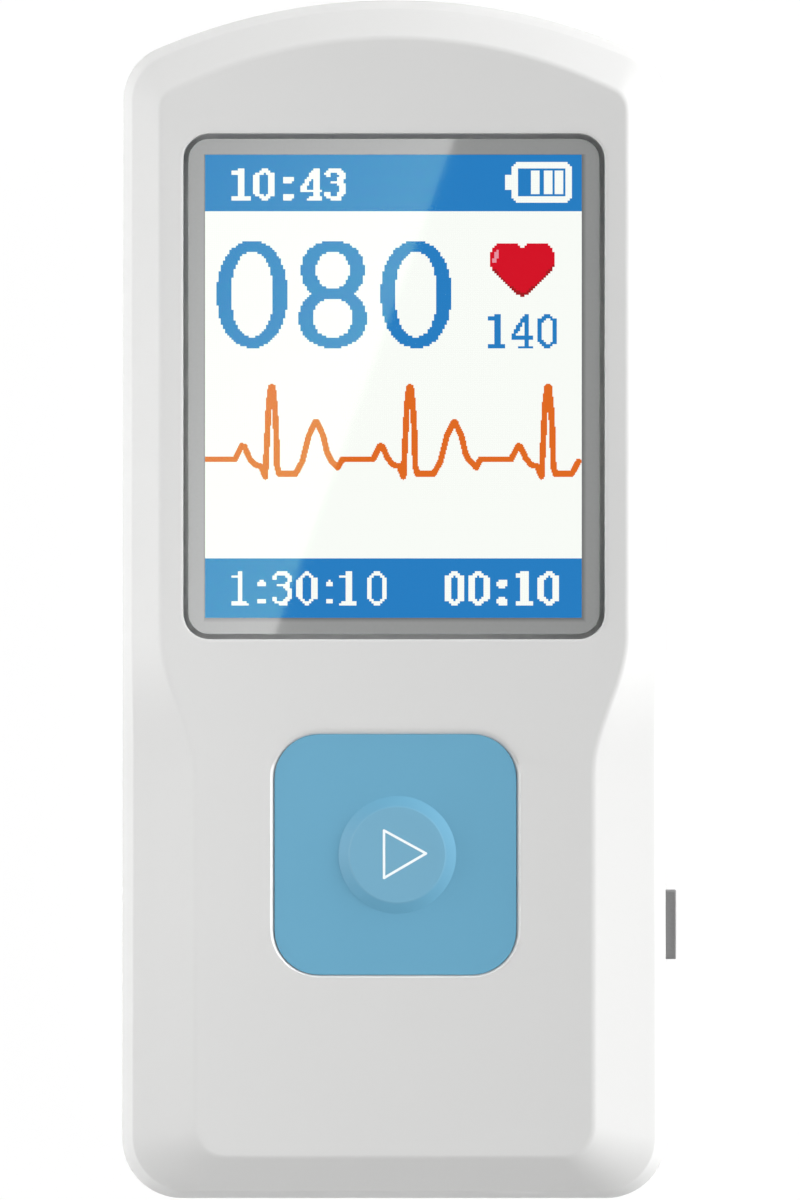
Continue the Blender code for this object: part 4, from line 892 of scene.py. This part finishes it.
def pulse_numbers():
    zero = ((16.4, 25.0), (9.7, 19.9))
    eight_upper = ((14.7, 13.8), (7.7, 8.4))
    eight_lower = ((15.8, 14.1), (9.1, 9.2))
    rings = (
        ((22.6, 65.8), zero),
        ((60.0, 54.5), eight_upper),
        ((60.0, 76.8), eight_lower),
        ((98.7, 65.8), zero),
    )
    columns, rows = (5, 117), (39, 92)

    def lit(x, y):
        place = (x, y)
        shown = any(oval(place, centre, *outer) <= 1 for centre, (outer, _) in rings)
        return shown and not any(oval(place, centre, *inner) <= 1 for centre, (_, inner) in rings)

    dots("pulse_numbers", PANEL_BLUE, MARK_BOTTOM, columns, rows, lit)


pulse_numbers()


# The heart beside the pulse is lit red, with a shine on its left lobe and a darker edge round its point.
# Half of its outline is given as points across and down from the middle of its upper edge.
HEART_TOP = (148.0, 41.5)
HEART_HALF = (
    (0.0, 3.3),
    (3.2, 0.2),
    (10.6, 0.2),
    (13.2, 2.3),
    (15.4, 5.2),
    (15.4, 10.6),
    (13.3, 13.3),
    (6.9, 20.3),
    (2.0, 24.6),
    (0.0, 25.2),
)


def in_heart(x, y):
    """Whether a dot lies in the heart, which is the same on both sides."""
    across = abs(x - HEART_TOP[0])
    down = y - HEART_TOP[1]
    crossings = 0
    for (x1, y1), (x2, y2) in zip(HEART_HALF, HEART_HALF[1:]):
        if (x1 > across) != (x2 > across):
            height = y1 + (y2 - y1) * (across - x1) / (x2 - x1)
            crossings += height > down
    return crossings % 2 == 1


def heart():
    shine = ((-11.4, 4.4), (-12.9, 8.3), (-12.7, 8.9))
    shade = ((15.5, 10.0), (13.2, 13.3), (6.9, 20.2), (0.5, 25.0), (-6.9, 20.2), (-13.2, 13.3))
    shine_half, shade_half = 0.9, 0.8
    columns, rows = (132, 164), (41, 67)

    def on_stroke(x, y, stroke, half_width):
        return in_heart(x, y) and on_path((x - HEART_TOP[0], y - HEART_TOP[1]), stroke, half_width)

    def shone(x, y):
        return on_stroke(x, y, shine, shine_half)

    def shaded(x, y):
        return on_stroke(x, y, shade, shade_half)

    def plain(x, y):
        return in_heart(x, y) and not shone(x, y) and not shaded(x, y)

    dots("heart_mark", lit_dots("heart_red", (0.65, 0.007, 0.020)), MARK_BOTTOM, columns, rows, plain)
    dots("heart_shine", lit_dots("heart_pink", (0.78, 0.30, 0.36)), MARK_BOTTOM, columns, rows, shone)
    dots("heart_shade", lit_dots("heart_dark", (0.36, 0.012, 0.016)), MARK_BOTTOM, columns, rows, shaded)


heart()


# The trace is lit orange across the middle of the picture, on dots half as large. One heartbeat is given
# in millimetres, as points across and up from its spike, and it comes three times.
def trace():
    first_rise = ((-3.08, 0.00), (-2.52, 1.10), (-2.30, 1.08), (-1.85, 0.05), (-1.41, -0.45), (-0.90, -0.60))
    beat = (
        (-0.55, -1.45),
        (-0.40, 1.60),
        (-0.26, 4.50),
        (-0.08, 6.02),
        (0.08, 6.02),
        (0.24, 4.50),
        (0.36, 2.40),
        (0.44, -0.60),
        (0.62, -1.22),
        (1.98, -1.22),
        (2.55, -0.18),
        (3.08, 1.95),
        (3.62, 3.08),
        (3.78, 3.08),
        (4.30, 1.95),
        (4.62, 0.55),
        (4.95, -0.10),
        (5.52, -0.68),
        (5.90, 0.00),
    )
    spikes = (-10.21, 1.335, 12.87)
    level = 11.68
    margin, reach = 0.15, 31.5
    left, right = PICTURE_LEFT / MM + margin, PICTURE_LEFT / MM + reach
    half_width = 0.255
    rows = (104, 154)
    path = [(left, level)]
    for spike in spikes:
        points = [(spike + across, level + up) for across, up in first_rise + beat]
        path += [point for point in points if left < point[0] < right]

    def lit(x, y):
        place = ((PICTURE_LEFT + x * DOT_WIDTH) / MM, (PICTURE_TOP - y * DOT_LENGTH) / MM)
        return on_path(place, path, half_width)

    finish = lit_dots("trace_orange", (0.735, 0.143, 0.0165))
    dots("pulse_trace", finish, MARK_BOTTOM, (0, PICTURE_COLUMNS), rows, lit, fine=2)


trace()


# The front half is moulded in the same grey: a face with a waist, a broad bevel all round it, a pocket and
# ledge for the clear window, the key's opening, the side port and four blind bosses. A groove inside its
# lower edge takes the tongue of the back half.
FACE_BOTTOM, FACE_TOP = -46.45 * MM, 46.75 * MM
FACE_HIP_HALF, FACE_SHOULDER_HALF = 16.6 * MM, 19.45 * MM
FACE_RADII = (2.6 * MM, 1.9 * MM, 41.0 * MM)
FACE = Outline((FACE_BOTTOM, FACE_TOP), (FACE_HIP_HALF, FACE_SHOULDER_HALF), FACE_RADII, waisted=True)
FACE_HEIGHT = 15.0 * MM
EDGE_HEIGHT = 12.4 * MM
INNER_FACE = 13.0 * MM
WINDOW_MIDDLE = (0, 17.7 * MM)
KEY_MIDDLE = (0.12 * MM, -21.26 * MM)
KEY_SIZE = (20.12 * MM, 20.02 * MM)
KEY_RADIUS = 3.7 * MM
KEY_PLAY = 0.012 * MM
PORT_Y, PORT_HEIGHT = -27.2 * MM, 9.7 * MM
PORT_PLACE = (BODY.half_at(PORT_Y), PORT_Y, PORT_HEIGHT)
TETHER_SHIFT = -5.6 * MM


def on_side(outlines):
    """Outlines drawn about +Z, turned to point out of the right-hand wall at the port."""
    side, along, level = PORT_PLACE
    return [[(side + z, along + x, level + y) for x, y, z in loop] for loop in outlines]


def side_opening(half, size, radius, depth, shift=0.0):
    """Cuts an opening into the right-hand wall."""
    steps = 6
    loops = block(size, radius, (-depth, OVERRUN), (shift, 0), steps)
    carve(half, drawn_up("side_opening", on_side(loops)))


def flared(size, radius, low, flare, depth, middle, raised=0.0):
    """Outlines of an opening up through the face, with a sloped rim that far wide and deep. The rim can lie
    further up the face than the opening, which makes it wide at the top and narrow at the bottom."""
    rim_size = (size[0] + 2 * flare, size[1] + 2 * flare)
    rim_middle = (middle[0], middle[1] + raised)
    opening = block(size, radius, (low, FACE_HEIGHT - depth), middle)
    return opening + block(rim_size, radius + flare, (FACE_HEIGHT, FACE_HEIGHT + OVERRUN), rim_middle)


def window_pocket(half):
    """A ledge inside the face, a pocket for the clear window and the opening over the display."""
    ledge_size, ledge_radius, ledge_heights = (37.3 * MM, 44.3 * MM), 1.8 * MM, (12 * MM, 14 * MM)
    carve(half, drawn_up("ledge", block(ledge_size, ledge_radius, ledge_heights, WINDOW_MIDDLE)), "UNION")
    pocket_size, pocket_radius, pocket_floor = (35.1 * MM, 42.1 * MM), 2.2 * MM, 13.0 * MM
    rim_width, rim_depth = 0.33 * MM, 0.09 * MM
    pocket = flared(pocket_size, pocket_radius, pocket_floor, rim_width, rim_depth, WINDOW_MIDDLE)
    carve(half, drawn_up("pocket", pocket))
    opening_size, opening_radius, opening_heights = (32.3 * MM, 39.3 * MM), 0.5 * MM, (11 * MM, FACE_HEIGHT)
    carve(half, drawn_up("opening", block(opening_size, opening_radius, opening_heights, WINDOW_MIDDLE)))


def blind_bosses(half):
    """Four bosses under the face for the screws to bite into."""
    boss_radius, boss_heights = 2.2 * MM, (8.5 * MM, 12.7 * MM)
    root_radius, root_height = 1.3 * MM, 13.45 * MM
    hole_heights = (7.5 * MM, 11.4 * MM)
    for place in map(middle_of, SCREWS):
        boss = [(boss_radius, height) for height in boss_heights] + [(root_radius, root_height)]
        carve(half, upright("boss", boss, place), "UNION")
        carve(half, upright("hole", [(SCREW_HOLE_RADIUS, height) for height in hole_heights], place))


def key_opening(half):
    """The key's opening, with a sloped rim that catches the light on its left and lower side."""
    rim_width, rim_depth, rim_raised = 0.36 * MM, 0.26 * MM, 0.16 * MM
    size = tuple(side + 2 * KEY_PLAY for side in KEY_SIZE)
    opening = flared(size, KEY_RADIUS, INNER_FACE - OVERRUN, rim_width, rim_depth, KEY_MIDDLE, rim_raised)
    carve(half, drawn_up("opening", opening))


def port_openings(half):
    """A shallow recess for the rubber cover, with openings in it for the charging socket and the tether."""
    recess_size, recess_radius, recess_depth = (14.3 * MM, 4.2 * MM), 1.2 * MM, 1.0 * MM
    socket_size, socket_radius = (8.2 * MM, 3.0 * MM), 0.8 * MM
    tether_size, tether_radius = (1.6 * MM, 1.4 * MM), 0.3 * MM
    through = 2.8 * MM
    side_opening(half, recess_size, recess_radius, recess_depth)
    side_opening(half, socket_size, socket_radius, through)
    side_opening(half, tether_size, tether_radius, through, TETHER_SHIFT)


def front_half():
    band, face_ease = (0.6 * MM, 1.0 * MM), 0.3 * MM
    foot = BODY.points(JOINT_HEIGHT + JOINT_GAP / 2)
    skin = bevelled_skin(foot, BODY.points(EDGE_HEIGHT), FACE.points(FACE_HEIGHT), band, face_ease)
    half = drawn_up("front_half", skin)
    inner_edge_drop, inner_face_inset = 1.4 * MM, 0.6 * MM
    groove = BODY.inset(WALL - TONGUE_WALL - JOINT_GAP)
    inner = BODY.inset(WALL)
    groove_top = JOINT_HEIGHT + TONGUE_HEIGHT + JOINT_GAP
    hollow = [
        groove.points(JOINT_HEIGHT - OVERRUN),
        groove.points(groove_top),
        inner.points(groove_top),
        inner.points(EDGE_HEIGHT - inner_edge_drop),
        FACE.inset(inner_face_inset).points(INNER_FACE),
    ]
    carve(half, drawn_up("hollow", hollow))
    window_pocket(half)
    blind_bosses(half)
    key_opening(half)
    port_openings(half)
    dressed(half, HOUSING_FINISH, "housing", "front_cover")


front_half()


# The window is a clear acrylic plate on a frame of foam tape, with a hard coat that adds a faint green
# sheen. A glossy grey border is printed round its front, so that the edge of the display doesn't show.
LENS_SIZE = (34.3 * MM, 41.3 * MM)
LENS_RADIUS = 1.8 * MM
LENS_HEIGHTS = (13.9 * MM, 14.7 * MM)
LENS_EASE = 0.15 * MM
BORDER_SIZE = (34.2 * MM, 41.2 * MM)
BORDER_RADIUS = 1.75 * MM
BORDER_HEIGHTS = (14.7 * MM, 14.73 * MM)
VIEW_MIDDLE = (-0.05 * MM, 17.708 * MM)
VIEW_SIZE = (31.35 * MM, 38.55 * MM)
VIEW_RADIUS = 0.06 * MM


def clear_acrylic():
    sheen_share = 0.03
    recipe = Recipe("clear_acrylic")
    outside = 1 - recipe.add("ShaderNodeNewGeometry", output="Backfacing")
    mirror = recipe.add("ShaderNodeFresnel", inputs={"IOR": 1.42}) * outside
    clear = recipe.add("ShaderNodeBsdfTransparent", inputs={"Color": (1, 1, 1, 1)})
    gloss = recipe.add("ShaderNodeBsdfGlossy", inputs={"Color": (1, 1, 1, 1), "Roughness": 0.02})
    sheen = recipe.add("ShaderNodeBsdfGlossy", inputs={"Color": (0.1, 1.0, 0.02, 1), "Roughness": 0.02})
    coated = recipe.add("ShaderNodeMixShader", inputs={0: sheen_share * outside, 1: clear, 2: sheen})
    return recipe.ends(recipe.add("ShaderNodeMixShader", inputs={0: mirror, 1: coated, 2: gloss}))


def printed_border():
    """Grey print, with painted shade next to the picture: broadly on its right and lower side, in a line on
    the left.
    """
    shade_width = 0.45 * MM
    left_narrower, top_narrower = 3, 9
    recipe = Recipe("printed_border")
    across, along, _ = recipe.parts(recipe.spot())
    across, along = across - VIEW_MIDDLE[0], along - VIEW_MIDDLE[1]
    half_width, half_length = VIEW_SIZE[0] / 2, VIEW_SIZE[1] / 2
    right, left = across - half_width, (-half_width - across) * left_narrower
    lower, upper = -half_length - along, (along - half_length) * top_narrower
    away = right.at_least(left).at_least(lower).at_least(upper)
    screen_dots = recipe.grain(4000.0)
    plain = recipe.blend(screen_dots, (0.298, 0.304, 0.301), (0.322, 0.328, 0.325))
    return recipe.surface(
        # The darker strip next to the picture is painted shade.
        Base_Color=recipe.blend(away.eased(0, shade_width), (0.175, 0.178, 0.177), plain),
        Roughness=0.5 + 0.1 * screen_dots,
        Coat_Weight=1.0,
        Coat_IOR=1.9,
        Coat_Roughness=0.02,
    )


def eased_plate(size, radius, heights, ease, middle=(0, 0), steps=4):
    """Outlines of a plate with round corners and a rounded upper edge."""
    loops = block(size, radius, heights[:1], middle)
    for step in range(steps + 1):
        turn = math.pi / 2 * step / steps
        shrink = ease * (1 - math.cos(turn))
        height = heights[1] - ease + ease * math.sin(turn)
        loops += block((size[0] - 2 * shrink, size[1] - 2 * shrink), radius - shrink, (height,), middle)
    return loops


def window():
    lens = eased_plate(LENS_SIZE, LENS_RADIUS, LENS_HEIGHTS, LENS_EASE, WINDOW_MIDDLE)
    dressed(drawn_up("window_plate", lens), clear_acrylic(), "housing", "screen_lens")
    border = drawn_up("window_border", block(BORDER_SIZE, BORDER_RADIUS, BORDER_HEIGHTS, WINDOW_MIDDLE))
    cut_heights, steps = (14 * MM, 15.5 * MM), 3
    carve(border, drawn_up("opening", block(VIEW_SIZE, VIEW_RADIUS, cut_heights, VIEW_MIDDLE, steps)))
    dressed(border, printed_border(), "housing")


window()
finish_nodes(FOAM, "lens_tape", "screen_gasket")


# The key is a square cap of satin blue plastic on a flange, with a low round boss in its middle, whose top
# has a painted sheen: its colour is a little paler there. A thin white outline of a triangle is printed on
# the boss. A post under the cap pushes the switch.
BOSS_MIDDLE = (0.28 * MM, -21.28 * MM)
BOSS_RADII_AND_HEIGHTS = (
    (4.90 * MM, 14.0 * MM),
    (4.90 * MM, 14.91 * MM),
    (4.84 * MM, 14.93 * MM),
    (3.99 * MM, 15.27 * MM),
    (3.93 * MM, 15.28 * MM),
)
SHEEN_PAINTED_HEIGHTS = (15.21 * MM, 15.27 * MM)
MARK_HEIGHTS = (15.27 * MM, 15.29 * MM)


def key_blue():
    recipe = Recipe("key_blue")
    cloud = recipe.grain(90.0)
    speckle = recipe.grain(8000.0, detail=3.0)
    _, _, height = recipe.parts(recipe.spot())
    plain = recipe.blend(cloud, (0.128, 0.366, 0.533), (0.138, 0.382, 0.556))
    # The paler colour on top of the boss is a painted sheen, where light from above would gloss it.
    paler = (0.167, 0.400, 0.560)
    return recipe.surface(
        Base_Color=recipe.blend(height.eased(*SHEEN_PAINTED_HEIGHTS), plain, paler),
        Roughness=0.40 + 0.08 * recipe.grain(1500.0),
        Normal=recipe.relief(speckle, strength=0.12, depth=0.02 * MM),
    )


def key():
    key_top, key_ease = 14.9 * MM, 0.025 * MM
    flange_size, flange_radius = (22.8 * MM, 22.8 * MM), 5.05 * MM
    flange_bottom, flange_top = 11.9 * MM, 12.7 * MM
    loops = block(flange_size, flange_radius, (flange_bottom, flange_top), KEY_MIDDLE)
    loops += eased_plate(KEY_SIZE, KEY_RADIUS, (flange_top, key_top), key_ease, KEY_MIDDLE)
    cap = drawn_up("blue_key", loops)
    hollow_size, hollow_radius, hollow_top = (17.3 * MM, 17.3 * MM), 2.3 * MM, 13.4 * MM
    hollow = block(hollow_size, hollow_radius, (flange_bottom - OVERRUN, hollow_top), KEY_MIDDLE)
    carve(cap, drawn_up("hollow", hollow))
    rib_length, rib_wall, rib_radius, rib_heights = 18.7 * MM, 0.9 * MM, 0.2 * MM, (12.3 * MM, 13.85 * MM)
    for size in ((rib_length, rib_wall), (rib_wall, rib_length)):
        carve(cap, drawn_up("rib", block(size, rib_radius, rib_heights, KEY_MIDDLE)), "UNION")
    post_radius, post_top = 1.5 * MM, 14.0 * MM
    post_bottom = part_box("main_button")[0].z
    carve(cap, upright("post", [(post_radius, post_bottom), (post_radius, post_top)], KEY_MIDDLE), "UNION")
    sides = 96
    boss = [circle(radius, height, BOSS_MIDDLE, sides) for radius, height in BOSS_RADII_AND_HEIGHTS]
    carve(cap, drawn_up("boss", boss), "UNION")
    dressed(cap, key_blue(), "main_button", "main_button", smooth_below=40)


def printed_white():
    recipe = Recipe("printed_white")
    ink = recipe.grain(6000.0)
    white = recipe.blend(ink, (0.86, 0.93, 0.95), (0.93, 0.98, 0.99))
    return recipe.surface(Base_Color=white, Roughness=0.4)


def start_mark():
    """A triangle in a line of even width, round outside its corners and sharp inside them."""
    corners = ((-0.83, -19.25), (-0.83, -23.2), (2.66, -21.16))
    half_line, steps = 0.105, 8
    outside = []
    for before, corner, after in zip(corners[-1:] + corners[:-1], corners, corners[1:] + corners[:1]):
        start = math.atan2(corner[1] - before[1], corner[0] - before[0]) - math.pi / 2
        end = math.atan2(after[1] - corner[1], after[0] - corner[0]) - math.pi / 2
        outside += arc(corner, half_line, start, start + (end - start) % (2 * math.pi), steps)
    runs = [math.dist(corners[index - 1], corners[index - 2]) for index in range(3)]
    middle = [sum(run * corner[axis] for run, corner in zip(runs, corners)) / sum(runs) for axis in (0, 1)]
    shrink = 1 - half_line / (middle[0] - corners[0][0])
    inside = [[m + shrink * (c - m) for m, c in zip(middle, corner)] for corner in corners]
    outline = [[(x * MM, y * MM, height) for x, y in outside] for height in MARK_HEIGHTS]
    mark = drawn_up("start_mark", outline)
    cut_heights = (14 * MM, 16 * MM)
    opening = [[(x * MM, y * MM, height) for x, y in inside] for height in cut_heights]
    carve(mark, drawn_up("opening", opening))
    dressed(mark, printed_white(), "main_button")


key()
start_mark()


# The charging port's cover is one moulding in soft grey rubber: a flush plate, a pull tab, a nose in the
# socket, and a tether with a head behind the wall.
def rubber_cover():
    plate_size, plate_radius, plate_depth, plate_ease = (13.7 * MM, 3.6 * MM), 0.9 * MM, -0.7 * MM, 0.15 * MM
    plate = eased_plate(plate_size, plate_radius, (plate_depth, 0), plate_ease)
    cover = drawn_up("rubber_cover", on_side(plate))
    root, steps = -0.35 * MM, 4
    tab_size, tab_radius, tab_reach, tab_ease = (5.8 * MM, 1.5 * MM), 0.2 * MM, 0.9 * MM, 0.1 * MM
    tab = eased_plate(tab_size, tab_radius, (root, tab_reach), tab_ease)
    carve(cover, drawn_up("tab", on_side(tab)), "UNION")
    nose_size, nose_depth, corner = (5.8 * MM, 0.9 * MM), -2.3 * MM, 0.12 * MM
    nose = block(nose_size, corner, (nose_depth, root), steps=steps)
    carve(cover, drawn_up("nose", on_side(nose)), "UNION")
    tether_size, tether_depths = (1.0 * MM, 0.8 * MM), (-9.45 * MM, root)
    head_size, head_depths = (2.8 * MM, 2.2 * MM), (-9.8 * MM, -9.1 * MM)
    for size, depths in ((tether_size, tether_depths), (head_size, head_depths)):
        part = block(size, corner, depths, (TETHER_SHIFT, 0), steps)
        carve(cover, drawn_up("tether", on_side(part)), "UNION")
    grey, paler = (0.262, 0.262, 0.262), (0.292, 0.292, 0.292)
    finish = moulded("grey_rubber", grey, paler, roughness=0.62, fineness=4000.0, strength=0.4)
    dressed(cover, finish, "port_cover", "port_cover")


rubber_cover()
